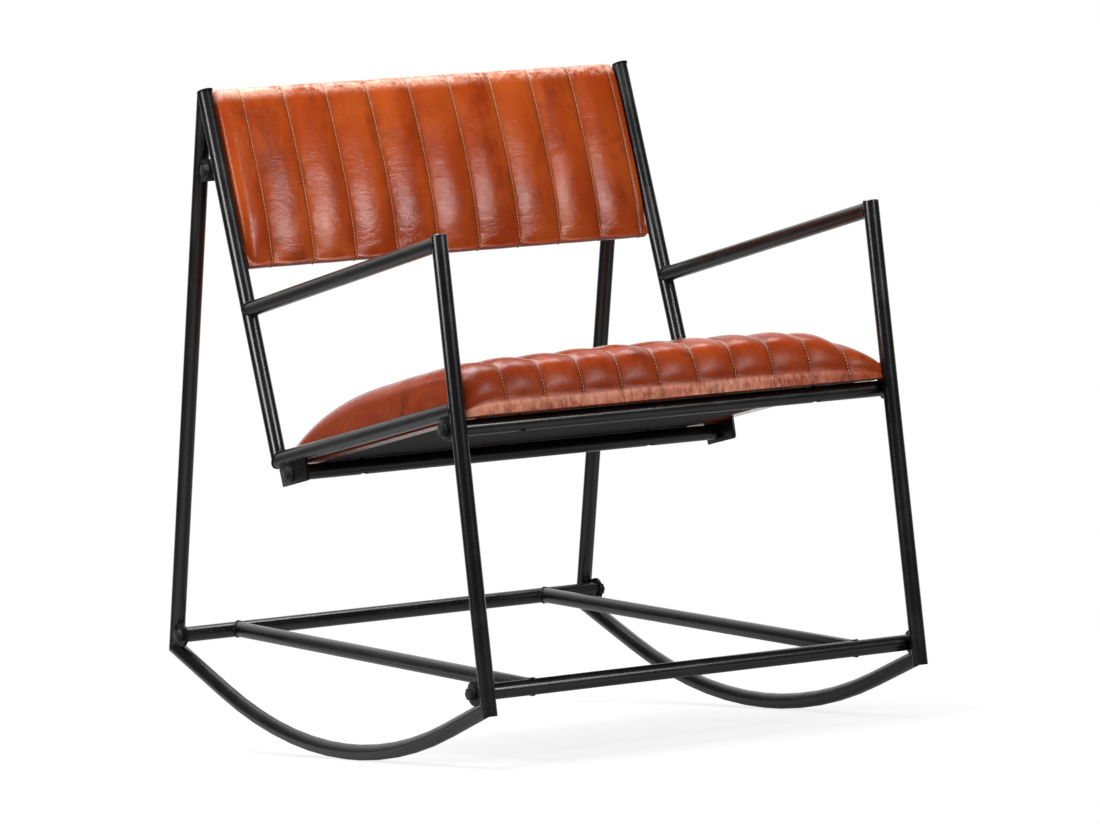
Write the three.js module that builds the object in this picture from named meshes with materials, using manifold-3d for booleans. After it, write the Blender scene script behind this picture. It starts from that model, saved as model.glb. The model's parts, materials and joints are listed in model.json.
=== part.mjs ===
// A rocking chair: two welded steel tube side frames on rockers, joined by bolted cross tubes,
// with a leather seat pad and back pad sewn in channels. Millimetres, +Z up.
// The sitter faces -Y, and the sitter's left is +X.
// Places in a side frame are written as (y, z): y runs to the rear from the rockers' lowest point.

import * as THREE from 'three';
import { mergeVertices } from 'three/addons/utils/BufferGeometryUtils.js';
import Module from 'manifold-3d';

const wasm = await Module();
wasm.setup();

// Driving sizes of the whole chair
const trackWidth = 585; // between the middle planes of the two side frames
const tubeDiameter = 19;
const tubeWall = 1.2;
const apexHeight = 807.3; // where the axes of rear leg and back post meet
const seatCornerHeight = 358.8; // where the axes of back post and seat rail meet
const armRearHeight = 540.7; // where the axes of back post and arm meet
const rockerRadius = 878; // of the tube's axis
const rearRun = 135.5; // straight tube behind the rocker's arc
const frontRun = 103.1; // straight tube ahead of the rocker's arc

// Slopes, in degrees
const rearSweepDegrees = 22.19;
const frontSweepDegrees = 15.98;
const rearLegLeanDegrees = 16.38;
const backPostLeanDegrees = 15.17;
const frontLegLeanDegrees = 3.24;
const seatSlopeDegrees = 7;
const armSlopeDegrees = 7.4;

// Clearances
const weldGap = 0.3; // between two tubes or plates at a weld
const fitGap = 0.3; // between pieces that lie on each other
const halfShare = 0.5;

// How finely round shapes are cut
const tubeSides = 24;
const boreSides = 8;
const smallSides = 12;
const screwSides = 8;
const hexSides = 6;

const tubeRadius = tubeDiameter * halfShare;
const boreRadius = tubeRadius - tubeWall;
const copeRadius = tubeRadius + weldGap;
const overrun = tubeDiameter * 2; // how far a cutting shape runs past what it cuts

// Side view geometry

const rad = THREE.MathUtils.degToRad;
const spot = (y, z) => new THREE.Vector2(y, z);
const rising = (degrees) => spot(-Math.cos(rad(degrees)), Math.sin(rad(degrees)));
const leaning = (degrees) => spot(Math.sin(rad(degrees)), Math.cos(rad(degrees)));
const shifted = (point, direction, distance) => point.clone().addScaledVector(direction, distance);

// Where the line from a along da meets the line from b along db.
function crossing(a, da, b, db) {
  const gap = b.clone().sub(a);
  return shifted(a, da, gap.cross(db) / da.cross(db));
}

// The point of the line from a along da that has the height z.
function atHeight(a, da, z) {
  return shifted(a, da, (z - a.y) / da.y);
}

// The direction a quarter turn to the rear of an upward direction.
const rearOf = (direction) => spot(direction.y, -direction.x);

const rearLegUp = leaning(-rearLegLeanDegrees);
const backPostUp = leaning(backPostLeanDegrees);
const frontLegUp = leaning(frontLegLeanDegrees);
const seatForward = rising(seatSlopeDegrees);
const seatUp = rearOf(seatForward);
const armForward = rising(armSlopeDegrees);

function onArc(angle) {
  return spot(rockerRadius * Math.sin(angle), tubeRadius + rockerRadius * (1 - Math.cos(angle)));
}
const rearTangent = spot(Math.cos(rad(rearSweepDegrees)), Math.sin(rad(rearSweepDegrees)));
const frontTangent = rising(frontSweepDegrees);

const rearCorner = shifted(onArc(rad(rearSweepDegrees)), rearTangent, rearRun);
const frontCorner = shifted(onArc(-rad(frontSweepDegrees)), frontTangent, frontRun);
const apex = atHeight(rearCorner, rearLegUp, apexHeight);
const seatCorner = atHeight(apex, backPostUp, seatCornerHeight);
const armRear = atHeight(apex, backPostUp, armRearHeight);
const railFront = crossing(seatCorner, seatForward, frontCorner, frontLegUp);
const armFront = crossing(armRear, armForward, frontCorner, frontLegUp);
const postLength = apex.distanceTo(seatCorner);
const railLength = railFront.distanceTo(seatCorner);

const footDrop = 10.2; // the front leg's foot below the rocker's end
const topRise = 10.3; // the front leg's top above the arm
const foot = shifted(frontCorner, frontLegUp, -footDrop);
const legTop = shifted(armFront, frontLegUp, topRise);

// Solids

const weldDistance = 1e-4; // vertices nearer than this are one vertex

function solidOf(geometry) {
  geometry.deleteAttribute('normal');
  geometry.deleteAttribute('uv');
  const merged = mergeVertices(geometry, weldDistance);
  const corners = merged.index.array;
  const kept = [];
  for (let i = 0; i < corners.length; i += 3) {
    const [a, b, c] = corners.slice(i, i + 3);
    if (a !== b && b !== c && c !== a) kept.push(a, b, c);
  }
  const vertProperties = new Float32Array(merged.attributes.position.array);
  return new wasm.Manifold(new wasm.Mesh({ numProp: 3, vertProperties, triVerts: new Uint32Array(kept) }));
}

function geometryOf(solid) {
  const mesh = solid.getMesh();
  const geometry = new THREE.BufferGeometry();
  geometry.setAttribute('position', new THREE.BufferAttribute(mesh.vertProperties, mesh.numProp));
  geometry.setIndex(new THREE.BufferAttribute(mesh.triVerts, 1));
  geometry.computeVertexNormals();
  return geometry;
}

// Turns a geometry that stands along +Y so that it runs from a point in a direction.
function stoodAlong(geometry, start, direction) {
  const upright = new THREE.Vector3(0, 1, 0);
  geometry.applyQuaternion(new THREE.Quaternion().setFromUnitVectors(upright, direction));
  return geometry.translate(start.x, start.y, start.z);
}

// A round bar between two points, with flats facing to the sides.
function rod(from, to, radius, sides = tubeSides) {
  const run = to.clone().sub(from);
  const length = run.length();
  const bar = new THREE.CylinderGeometry(radius, radius, length, sides, 1, false, Math.PI / sides);
  bar.translate(0, length * halfShare, 0);
  return solidOf(stoodAlong(bar, from, run.normalize()));
}

// The same bar, longer at both ends.
function longRod(from, to, radius, sides = tubeSides, extra = overrun) {
  const direction = to.clone().sub(from).normalize();
  const start = from.clone().addScaledVector(direction, -extra);
  return rod(start, to.clone().addScaledVector(direction, extra), radius, sides);
}

// A shape turned about the line from start in a direction: points are (radius, distance along).
function turned(points, start, direction, sides = smallSides) {
  const outline = points.map(([radius, distance]) => new THREE.Vector2(radius, distance));
  return solidOf(stoodAlong(new THREE.LatheGeometry(outline, sides), start, direction));
}

function block(width, depth, height, centre) {
  return solidOf(new THREE.BoxGeometry(width, depth, height).translate(centre.x, centre.y, centre.z));
}

const skyward = new THREE.Vector3(0, 0, 1);

// A block that fills the space past a plane, square to the plane's direction.
const blockSize = trackWidth * 3;
function spacePast(point, direction) {
  const fill = new THREE.BoxGeometry(blockSize, blockSize, blockSize);
  fill.translate(0, blockSize * halfShare, 0);
  return solidOf(stoodAlong(fill, point, direction));
}

// A closed skin through rings of equal length. Each ring turns anticlockwise as seen from the last ring.
function loft(rings) {
  const count = rings[0].length;
  const positions = rings.flat();
  const faces = [];
  for (let i = 0; i + 1 < rings.length; i++) {
    for (let j = 0; j < count; j++) {
      const a = i * count + j;
      const b = i * count + ((j + 1) % count);
      faces.push(a, b, b + count, a, b + count, a + count);
    }
  }
  const ends = [[0, false], [rings.length - 1, true]];
  for (const [i, forward] of ends) {
    const middle = positions.length;
    const sum = rings[i].reduce((total, point) => total.add(point), new THREE.Vector3());
    positions.push(sum.divideScalar(count));
    for (let j = 0; j < count; j++) {
      const a = i * count + j;
      const b = i * count + ((j + 1) % count);
      faces.push(middle, ...(forward ? [a, b] : [b, a]));
    }
  }
  const geometry = new THREE.BufferGeometry().setFromPoints(positions);
  geometry.setIndex(faces);
  return solidOf(geometry);
}

// Materials

function finish(color, roughness, metalness) {
  return new THREE.MeshStandardMaterial({ color, roughness, metalness });
}
const blackPaint = finish(0x0f0f11, 0.32, 0.2);
const tanLeather = finish(0x9a3f14, 0.35, 0);
const foamFill = finish(0xd9cfa8, 0.9, 0);
const plywood = finish(0xb08a58, 0.75, 0);
const darkLining = finish(0x232225, 0.9, 0);

function piece(name, geometry, material) {
  const mesh = new THREE.Mesh(geometry, material);
  mesh.name = name;
  return mesh;
}

// Side frame tubes: made about the plane x = 0 and used on both sides.

const inPlane = (point, x = 0) => new THREE.Vector3(x, point.x, point.y);
const flatTo = (direction) => new THREE.Vector3(0, direction.x, direction.y);

// A hollow tube between two places of the side frame.
function tube(from, to, extra = 0) {
  const outer = longRod(inPlane(from), inPlane(to), tubeRadius, tubeSides, extra);
  return outer.subtract(longRod(inPlane(from), inPlane(to), boreRadius, boreSides, extra + overrun));
}

// The room that a crossing tube needs, to cope another tube or a plate round it.
const room = (from, to, x = 0) => longRod(inPlane(from, x), inPlane(to, x), copeRadius);

// Cuts a solid at the mitre of two tubes that meet at a point, and keeps the side of the first one.
function mitred(solid, point, own, other) {
  const across = spot(other.x - own.x, other.y - own.y).normalize();
  const face = shifted(point, across, -weldGap * halfShare);
  return solid.subtract(spacePast(inPlane(face), flatTo(across)));
}

// The rocker's middle line: straight, then the arc, then straight. Its lowest stretch is one flat.
const restFlatLength = 36;
const rearArcSteps = 7;
const frontArcSteps = 5;

function rockerLine(extra) {
  const flatAngle = Math.asin((restFlatLength * halfShare) / rockerRadius);
  const line = [shifted(rearCorner, rearTangent, extra)];
  for (let i = 0; i <= rearArcSteps; i++) {
    const share = 1 - i / rearArcSteps;
    line.push(onArc(flatAngle + (rad(rearSweepDegrees) - flatAngle) * share));
  }
  for (let i = 0; i <= frontArcSteps; i++) {
    const share = i / frontArcSteps;
    line.push(onArc(-flatAngle - (rad(frontSweepDegrees) - flatAngle) * share));
  }
  line.push(shifted(frontCorner, frontTangent, extra));
  return line;
}

function bentBar(line, radius, sides) {
  const across = new THREE.Vector3(1, 0, 0);
  const rings = line.map((point, i) => {
    const before = line[Math.max(i - 1, 0)];
    const after = line[Math.min(i + 1, line.length - 1)];
    const heading = flatTo(after.clone().sub(before).normalize());
    const side = heading.clone().cross(across);
    const centre = inPlane(point);
    const ring = [];
    for (let k = 0; k < sides; k++) {
      const turn = ((k + halfShare) / sides) * Math.PI * 2;
      ring.push(centre.clone()
        .addScaledVector(across, radius * Math.cos(turn))
        .addScaledVector(side, radius * Math.sin(turn)));
    }
    return ring;
  });
  return loft(rings);
}

function makeRocker() {
  const outer = bentBar(rockerLine(tubeDiameter), tubeRadius, tubeSides);
  const bar = outer.subtract(bentBar(rockerLine(tubeDiameter + overrun), boreRadius, boreSides));
  const trimmed = mitred(bar, rearCorner, rearTangent.clone().negate(), rearLegUp);
  const pastLeg = spacePast(inPlane(frontCorner), flatTo(frontTangent));
  return trimmed.subtract(pastLeg).subtract(room(foot, legTop));
}

// The apex: rear leg and back post are mitred, cut square to the post and closed with one plate.
const apexRise = 2.6; // from the meeting point of the axes up the post to the cut
const capThickness = 2;
const legDown = rearLegUp.clone().negate();
const postDown = backPostUp.clone().negate();

function cutTop(solid, rise) {
  return solid.subtract(spacePast(inPlane(shifted(apex, backPostUp, rise)), flatTo(backPostUp)));
}

function makeRearLeg() {
  const long = tube(rearCorner, apex, overrun);
  const footed = mitred(long, rearCorner, rearLegUp, rearTangent.clone().negate());
  return cutTop(mitred(footed, apex, legDown, postDown), apexRise - capThickness - weldGap);
}

function makeBackPost() {
  const long = tube(seatCorner, apex, overrun);
  const footed = mitred(long, seatCorner, backPostUp, seatForward);
  return cutTop(mitred(footed, apex, postDown, legDown), apexRise - capThickness - weldGap);
}

function makeApexCap() {
  const legTip = longRod(inPlane(rearCorner), inPlane(apex), tubeRadius);
  const postTip = longRod(inPlane(seatCorner), inPlane(apex), tubeRadius);
  const underside = shifted(apex, backPostUp, apexRise - capThickness);
  return cutTop(legTip.add(postTip), apexRise).subtract(spacePast(inPlane(underside), flatTo(postDown)));
}

function makeSeatRail() {
  const long = tube(seatCorner, railFront, overrun);
  const rear = mitred(long, seatCorner, seatForward, backPostUp);
  const pastLeg = spacePast(inPlane(railFront), flatTo(seatForward));
  return rear.subtract(pastLeg).subtract(room(foot, legTop));
}

function makeArm() {
  return tube(armRear, armFront).subtract(room(seatCorner, apex)).subtract(room(foot, legTop));
}

// The front leg: its foot is closed by a plug that is welded in, and its top by a loose plate.
const footPlugLength = 3;

function makeFrontLeg() {
  const top = shifted(legTop, frontLegUp, -capThickness - weldGap);
  const outer = rod(inPlane(foot), inPlane(top), tubeRadius);
  const plugTop = shifted(foot, frontLegUp, footPlugLength);
  const boreTop = shifted(legTop, frontLegUp, overrun);
  return outer.subtract(rod(inPlane(plugTop), inPlane(boreTop), boreRadius, boreSides));
}

const capBevel = 0.8;
function makeLegCap() {
  const profile = [
    [0, 0],
    [tubeRadius, 0],
    [tubeRadius, capThickness - capBevel],
    [tubeRadius - capBevel, capThickness],
    [0, capThickness],
  ];
  const base = shifted(legTop, frontLegUp, -capThickness);
  return turned(profile, inPlane(base), flatTo(frontLegUp), tubeSides);
}

// Cross tubes lie a small gap away from the tube that carries their plate.
const baseTubeGap = 2;
const baseRearTubeGap = 4;
const seatTubeGap = 2;
const backTubeGap = 2;
const baseFrontRise = 27.7; // along the front leg, from its foot
const baseRearRise = 23.6; // along the rear leg, from the rocker
const seatFrontInset = 23; // along the rail, back from the front leg
const seatRearInset = 36; // along the rail, forward from the back post
const backTubeDrop = 91.7; // along the back post, down from the apex

const seatTubeDrop = tubeDiameter + seatTubeGap;
const aheadOf = (direction) => rearOf(direction).negate();
const baseFrontSpot = shifted(
  shifted(foot, frontLegUp, baseFrontRise), rearOf(frontLegUp), tubeDiameter + baseTubeGap);
const baseRearSpot = shifted(
  shifted(rearCorner, rearLegUp, baseRearRise), aheadOf(rearLegUp), tubeDiameter + baseRearTubeGap);
const seatFrontSpot = shifted(
  shifted(railFront, seatForward, -seatFrontInset), seatUp, -seatTubeDrop);
const seatRearSpot = shifted(
  shifted(seatCorner, seatForward, seatRearInset), seatUp, -seatTubeDrop);
const backTubeSpot = shifted(
  shifted(apex, backPostUp, -backTubeDrop), rearOf(backPostUp), tubeDiameter + backTubeGap);

// Plates: welded to the side frame's tubes outside its middle plane, with a bolt hole each.
const plateThickness = 3;
const plateInset = 3.5; // from the middle plane of the side frame to the plate's inner face
const plateMiddle = plateInset + plateThickness * halfShare;
const boltRadius = 4;
const holeClearance = 0.4;

const frameTubes = [
  [rearCorner, apex],
  [seatCorner, apex],
  [foot, legTop],
  [seatCorner, railFront],
];

// A flat outline with its corners rounded off.
function roundedOutline(corners, radius) {
  const outline = new THREE.Shape();
  corners.forEach((corner, i) => {
    const before = corners[(i + corners.length - 1) % corners.length];
    const after = corners[(i + 1) % corners.length];
    const toBefore = before.clone().sub(corner).setLength(radius);
    const toAfter = after.clone().sub(corner).setLength(radius);
    const start = corner.clone().add(toBefore);
    const end = corner.clone().add(toAfter);
    if (i === 0) outline.moveTo(start.x, start.y);
    else outline.lineTo(start.x, start.y);
    outline.quadraticCurveTo(corner.x, corner.y, end.x, end.y);
  });
  outline.closePath();
  return outline;
}

const cornerSteps = 4;
const discSteps = 20;

// An outline in the side view as a plate of the given thickness about the plane x = 0.
function sheetOf(outline, thickness, steps = cornerSteps) {
  const sheet = new THREE.ExtrudeGeometry(outline, {
    depth: thickness, bevelEnabled: false, curveSegments: steps,
  });
  sheet.translate(0, 0, -thickness * halfShare);
  const turn = new THREE.Matrix4().makeBasis(
    new THREE.Vector3(0, 1, 0), new THREE.Vector3(0, 0, 1), new THREE.Vector3(1, 0, 0));
  return solidOf(sheet.applyMatrix4(turn));
}

function bored(solid, centre) {
  const ends = [-plateThickness, plateThickness].map((x) => inPlane(centre, x));
  return solid.subtract(rod(...ends, boltRadius + holeClearance, smallSides));
}

// Copes a plate round every tube of the side frame, which lies on its inner side.
const rockerRoom = bentBar(rockerLine(0), copeRadius, tubeSides);
function coped(solid, side) {
  let cut = solid;
  for (const [from, to] of frameTubes) cut = cut.subtract(room(from, to, -side * plateMiddle));
  return cut.subtract(rockerRoom.translate([-side * plateMiddle, 0, 0]));
}

// Corners given along a tube and away from it, measured from a place on the tube.
function cornersFrom(place, along, away, pairs) {
  return pairs.map(([a, b]) => shifted(shifted(place, along, a), away, b));
}

const lugRadius = 14.5; // of the round plates on the base
const lugNeckShare = 0.62;

// A round plate with a short neck that reaches the leg which carries it.
function makeLug(centre, away, gap, side) {
  const disc = new THREE.Shape().absarc(centre.x, centre.y, lugRadius, 0, Math.PI * 2);
  const along = rearOf(away);
  const neckHalf = lugRadius * lugNeckShare;
  const reach = tubeRadius + gap + tubeRadius;
  const corners = cornersFrom(centre, along, away, [
    [-neckHalf, 0], [neckHalf, 0], [neckHalf, -reach], [-neckHalf, -reach],
  ]);
  const neck = new THREE.Shape(corners.reverse());
  const plate = sheetOf(disc, plateThickness, discSteps).add(sheetOf(neck, plateThickness));
  return coped(bored(plate, centre), side);
}

const plateCorner = 5;

// The seat's front plate hangs from the rail behind the leg, with a round lower end.
const seatFrontPlateBack = 12; // behind the bolt
const seatFrontPlateDrop = 13; // below the bolt
function makeSeatFrontPlate(side) {
  const toLeg = seatFrontInset;
  const corners = cornersFrom(seatFrontSpot, seatForward, seatUp, [
    [-seatFrontPlateBack, -seatFrontPlateDrop],
    [toLeg, -seatFrontPlateDrop],
    [toLeg, seatTubeDrop],
    [-seatFrontPlateBack, seatTubeDrop],
  ]);
  const sheet = sheetOf(roundedOutline(corners.reverse(), seatFrontPlateBack - weldGap), plateThickness);
  return coped(bored(sheet, seatFrontSpot), side);
}

// The seat's rear plate is a long one along the rail's underside.
const seatRearPlateStart = 8; // along the rail, from the post
const seatRearPlateLength = 72;
const seatRearPlateDepth = 34.5; // below the rail's axis
function makeSeatRearPlate(side) {
  const end = seatRearPlateStart + seatRearPlateLength;
  const corners = cornersFrom(seatCorner, seatForward, seatUp, [
    [seatRearPlateStart, 0], [end, 0], [end, -seatRearPlateDepth], [seatRearPlateStart, -seatRearPlateDepth],
  ]);
  return coped(bored(sheetOf(roundedOutline(corners, plateCorner), plateThickness), seatRearSpot), side);
}

// The back plate fills the gap between back post and rear leg.
const backPlateHeight = 27;
function makeBackPlate(side) {
  const half = backPlateHeight * halfShare;
  const low = backTubeSpot.y - half;
  const high = backTubeSpot.y + half;
  const corners = [
    atHeight(apex, backPostUp, low), atHeight(apex, rearLegUp, low),
    atHeight(apex, rearLegUp, high), atHeight(apex, backPostUp, high),
  ];
  return coped(bored(sheetOf(new THREE.Shape(corners), plateThickness), backTubeSpot), side);
}

// Bolts: hexagon heads with a washer, from outside into the cross tubes' ends.
const headHeight = 5.3;
const headAcross = 13;
const washerThickness = 1.6;
const washerRadius = 8;
const wideWasherRadius = 10;
const boltLength = 22; // from under the washer

function makeBolt(radius) {
  const outward = new THREE.Vector3(1, 0, 0);
  const profile = [
    [0, -boltLength],
    [boltRadius, -boltLength],
    [boltRadius, 0],
    [radius, 0],
    [radius, washerThickness],
    [0, washerThickness],
  ];
  const cornerRadius = (headAcross * halfShare) / Math.cos(Math.PI / hexSides);
  const seat = new THREE.Vector3(washerThickness * halfShare, 0, 0);
  const crown = new THREE.Vector3(washerThickness + headHeight, 0, 0);
  const body = turned(profile, new THREE.Vector3(), outward, discSteps);
  return body.add(rod(seat, crown, cornerRadius, hexSides));
}

const boltSeat = trackWidth * halfShare + plateInset + plateThickness + fitGap;

// Cross tubes: hollow, with a bored plug welded into each end for the bolt.
const plugLength = 26;
const boltRoom = boltRadius + holeClearance;
const crossHalf = trackWidth * halfShare + plateInset - fitGap;

// Screws hold the boards to the cross tubes.
const screwRadius = 2.5;
const screwHeadRadius = 4.5;
const screwHeadHeight = 2.4;
const screwHeadTop = 6; // above the middle of the tube that it sits in
const screwRoomRadius = 5.4; // of the hole through which the head goes in
const screwBite = 8; // in the board
const seatScrewPlace = 200; // from the chair's middle plane
const backScrewPlace = 190;

function crossTube(centre) {
  const at = (x) => new THREE.Vector3(x, centre.x, centre.y);
  const bar = rod(at(-crossHalf), at(crossHalf), tubeRadius);
  const hollowHalf = crossHalf - plugLength;
  const hollow = bar.subtract(rod(at(-hollowHalf), at(hollowHalf), boreRadius, boreSides));
  return hollow.subtract(longRod(at(-crossHalf), at(crossHalf), boltRoom, smallSides));
}

// Screw holes through a cross tube, along a direction in the side view, wide on the side below.
function drilled(solid, centre, direction, places) {
  let cut = solid;
  for (const x of places) {
    const low = inPlane(shifted(centre, direction, -tubeDiameter), x);
    const high = inPlane(shifted(centre, direction, tubeDiameter), x);
    cut = cut.subtract(rod(low, high, screwRadius + holeClearance, screwSides));
    cut = cut.subtract(rod(low, inPlane(centre, x), screwRoomRadius, discSteps));
  }
  return cut;
}

// A panhead screw that points along +Z from its head, which lies inside its tube.
function makeScrew(depth) {
  const low = screwHeadTop - screwHeadHeight;
  const profile = [
    [0, low],
    [screwHeadRadius, low + screwHeadHeight * halfShare],
    [screwHeadRadius, low + screwHeadHeight],
    [screwRadius, low + screwHeadHeight],
    [screwRadius, depth],
    [0, depth],
  ];
  return turned(profile, new THREE.Vector3(), skyward, screwSides);
}

// The base's long tubes run from the rear cross tube to the front one.
const longTubePlace = 220; // from the chair's middle plane
function makeLongTube() {
  const at = (centre, x) => new THREE.Vector3(x, centre.x, centre.y);
  const across = (centre) => rod(at(centre, -overrun), at(centre, overrun), copeRadius);
  return tube(baseRearSpot, baseFrontSpot).subtract(across(baseRearSpot)).subtract(across(baseFrontSpot));
}

// Pads. A pad lies in its own frame: x across the chair, +Y along it, +Z out of its face.
// Its outline goes from the +Y end to the -Y end, as shares of its length and of its rise.

const leatherThickness = 1.6;
const wrapWidth = 25; // leather turned in under the board
const waddingThickness = 1.4; // between leather and foam at the seams
const foamEdge = 2.4; // the foam at its thin edges
const padSide = trackWidth * halfShare - tubeRadius - fitGap;

const seatPadInset = 4; // from the seat corner to the pad's rear edge
const seatPadReach = 8.1; // of the pad's front edge past the front legs' middle

const seatPad = {
  length: railLength + seatPadReach - seatPadInset,
  highEnd: -seatPadInset,
  under: tubeRadius - seatTubeDrop + fitGap,
  boardThickness: 12,
  rise: 49, // above the rail's axis, without the crown
  crown: 9, // more in the middle
  sideRoll: 30,
  cornerRoll: 12,
  channels: 11,
  margin: 0,
  channelDepth: 6,
  outlineShares: [
    [0.004, -0.18], [0, 0.06], [0.008, 0.22], [0.04, 0.34], [0.093, 0.49], [0.15, 0.63],
    [0.216, 0.76], [0.3, 0.87], [0.42, 0.95], [0.592, 0.99], [0.771, 1], [0.88, 0.985],
    [0.945, 0.9], [0.98, 0.7], [1, 0.36], [1.002, 0.08], [0.994, -0.17],
  ],
};

const backPad = {
  length: 225,
  highEnd: postLength + apexRise * halfShare, // the top edge
  under: -tubeRadius - backTubeGap + fitGap,
  boardThickness: 9,
  rise: 12,
  crown: 4,
  sideRoll: 12,
  cornerRoll: 10,
  channels: 9,
  margin: 23.5,
  channelDepth: 4,
  outlineShares: [
    [0.012, -0.8], [0, -0.35], [0.004, 0.15], [0.022, 0.55], [0.06, 0.83], [0.15, 0.95], [0.5, 1],
    [0.85, 0.95], [0.94, 0.83], [0.978, 0.55], [0.996, 0.15], [1, -0.35], [0.988, -0.8],
  ],
};

const columnShares = [0, 0.13, 0.5, 0.87]; // across one channel
const sideShares = [0, 0.12, 0.4, 0.75]; // across the rounded side
const coreShares = [0, 0.4, 1]; // the same for the pad's core
const middleShares = [-0.5, 0, 0.5]; // the core between its rounded sides
const sideRollShare = 0.62; // the most of the pad's height that a side may round off
const quiltedShare = 0.5; // the part of the rise over which the channels deepen
const fullnessPower = 3;

// The seams lie at equal steps, and a pad without margins has none on its sides.
function seamsOf(pad) {
  const width = (padSide * 2 - pad.margin * 2) / pad.channels;
  const skipped = pad.margin > 0 ? 0 : 1;
  const seams = [];
  for (let i = skipped; i <= pad.channels - skipped; i++) seams.push(-padSide + pad.margin + width * i);
  return { seams, width };
}

// How much the leather is drawn in at x: 1 on a seam and 0 in the middle of a channel.
function drawnIn(x, { seams, width }) {
  const nearest = Math.min(...seams.map((seam) => Math.abs(x - seam)));
  return Math.max(0, 1 - nearest / (width * halfShare)) ** fullnessPower;
}

function faceColumns(pad, { seams, width }) {
  const columns = [];
  for (const seam of seams.slice(0, -1)) {
    for (const share of columnShares) columns.push(seam + width * share);
  }
  const last = seams.at(-1);
  const rounded = sideShares.map((share) => padSide - pad.sideRoll * share);
  const half = (rounded.at(-1) + last) * halfShare;
  const outside = [...rounded, half].filter((x) => x > last);
  return [...outside.map((x) => -x), ...columns, last, ...outside.reverse()];
}

function coreColumns(pad, side) {
  const rounded = coreShares.map((share) => side - pad.sideRoll * share);
  const middle = middleShares.map((share) => side * share);
  return [...rounded.map((x) => -x), ...middle, ...rounded.reverse()];
}

// One cross-section of a pad at x, drawn in from the leather's face by inset all round and by depth
// on the face alone. It stands on floor, and its face is nowhere lower than least.
function padRing(pad, x, { inset = 0, depth = 0, floor, least, outline }) {
  const across = new THREE.Vector3(1, 0, 0);
  const past = Math.max(0, 1 - (padSide - inset - Math.abs(x)) / pad.sideRoll);
  const fall = 1 - Math.sqrt(1 - Math.min(past, 1) ** 2);
  const bulge = pad.crown * (1 - (x / padSide) ** 2);
  const halfLength = pad.length * halfShare;
  const middle = pad.highEnd - halfLength;
  const face = outline.map(([share, heightShare]) => {
    const lift = Math.sin(Math.PI * THREE.MathUtils.clamp(share, 0, 1));
    const full = pad.rise * heightShare + bulge * lift;
    const roll = Math.min(pad.sideRoll, Math.max(0, full - pad.under) * sideRollShare);
    const end = halfLength - pad.cornerRoll * fall;
    return new THREE.Vector3(x, middle + end * (1 - share * 2), full - roll * fall);
  });
  const drawn = face.map((point, i) => {
    const before = face[Math.max(i - 1, 0)];
    const after = face[Math.min(i + 1, face.length - 1)];
    const outward = after.clone().sub(before).cross(across).normalize();
    const weight = THREE.MathUtils.clamp(outline[i][1] / quiltedShare, 0, 1);
    const moved = point.clone().addScaledVector(outward, -inset - depth * weight);
    moved.z = Math.max(moved.z, least);
    return moved;
  });
  const feet = [drawn[0], drawn.at(-1)].map((point) => new THREE.Vector3(x, point.y, floor));
  return [feet[0], ...drawn, feet[1]];
}

// A pad's solids: the leather cover with its wrapped edge, the foam, the board and the lining.
function makePad(pad, screwSpots) {
  const spacing = seamsOf(pad);
  const lipTop = pad.under + leatherThickness;
  const boardBottom = lipTop + fitGap;
  const boardTop = boardBottom + pad.boardThickness;
  const coreOutline = pad.outlineShares.filter(([, heightShare]) => heightShare > 0);

  const face = loft(faceColumns(pad, spacing).map((x) => padRing(pad, x, {
    depth: pad.channelDepth * drawnIn(x, spacing),
    floor: pad.under,
    least: lipTop,
    outline: pad.outlineShares,
  })));
  const core = (gap, floor) => {
    const inset = leatherThickness + gap;
    return loft(coreColumns(pad, padSide - inset).map((x) => padRing(pad, x, {
      inset,
      depth: pad.channelDepth + waddingThickness,
      floor,
      least: boardTop + foamEdge - gap,
      outline: coreOutline,
    })));
  };

  const middle = pad.highEnd - pad.length * halfShare;
  const opening = (gap, thickness) => block(
    (padSide - wrapWidth - gap) * 2,
    pad.length - (wrapWidth + gap) * 2,
    thickness,
    new THREE.Vector3(0, middle, lipTop - thickness * halfShare),
  );
  const levelUp = (z) => spacePast(new THREE.Vector3(0, 0, z), skyward);
  const levelDown = (z) => spacePast(new THREE.Vector3(0, 0, z), skyward.clone().negate());
  const filling = core(fitGap, boardBottom);

  let cover = face.subtract(core(0, lipTop)).subtract(opening(0, wrapWidth));
  let board = filling.subtract(levelUp(boardTop));
  let lining = opening(fitGap, leatherThickness);
  for (const [x, y] of screwSpots) {
    const low = new THREE.Vector3(x, y, pad.under - overrun);
    const high = new THREE.Vector3(x, y, boardBottom + screwBite + holeClearance);
    const hole = rod(low, high, screwRadius + holeClearance, screwSides);
    cover = cover.subtract(hole);
    board = board.subtract(hole);
    lining = lining.subtract(hole);
  }
  return {
    cover,
    foam: filling.subtract(levelDown(boardTop + fitGap)),
    board,
    lining,
    screwDepth: (drop) => boardBottom + screwBite + drop,
  };
}

// The assembly

const chair = new THREE.Group();
const seatRows = [-seatRearInset, seatFrontInset - railLength];
const seatScrewPlaces = [-seatScrewPlace, seatScrewPlace];
const backScrewPlaces = [-backScrewPlace, 0, backScrewPlace];
const seatScrewSpots = seatRows.flatMap((y) => seatScrewPlaces.map((x) => [x, y]));
const backScrewSpots = backScrewPlaces.map((x) => [x, postLength - backTubeDrop]);

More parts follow.
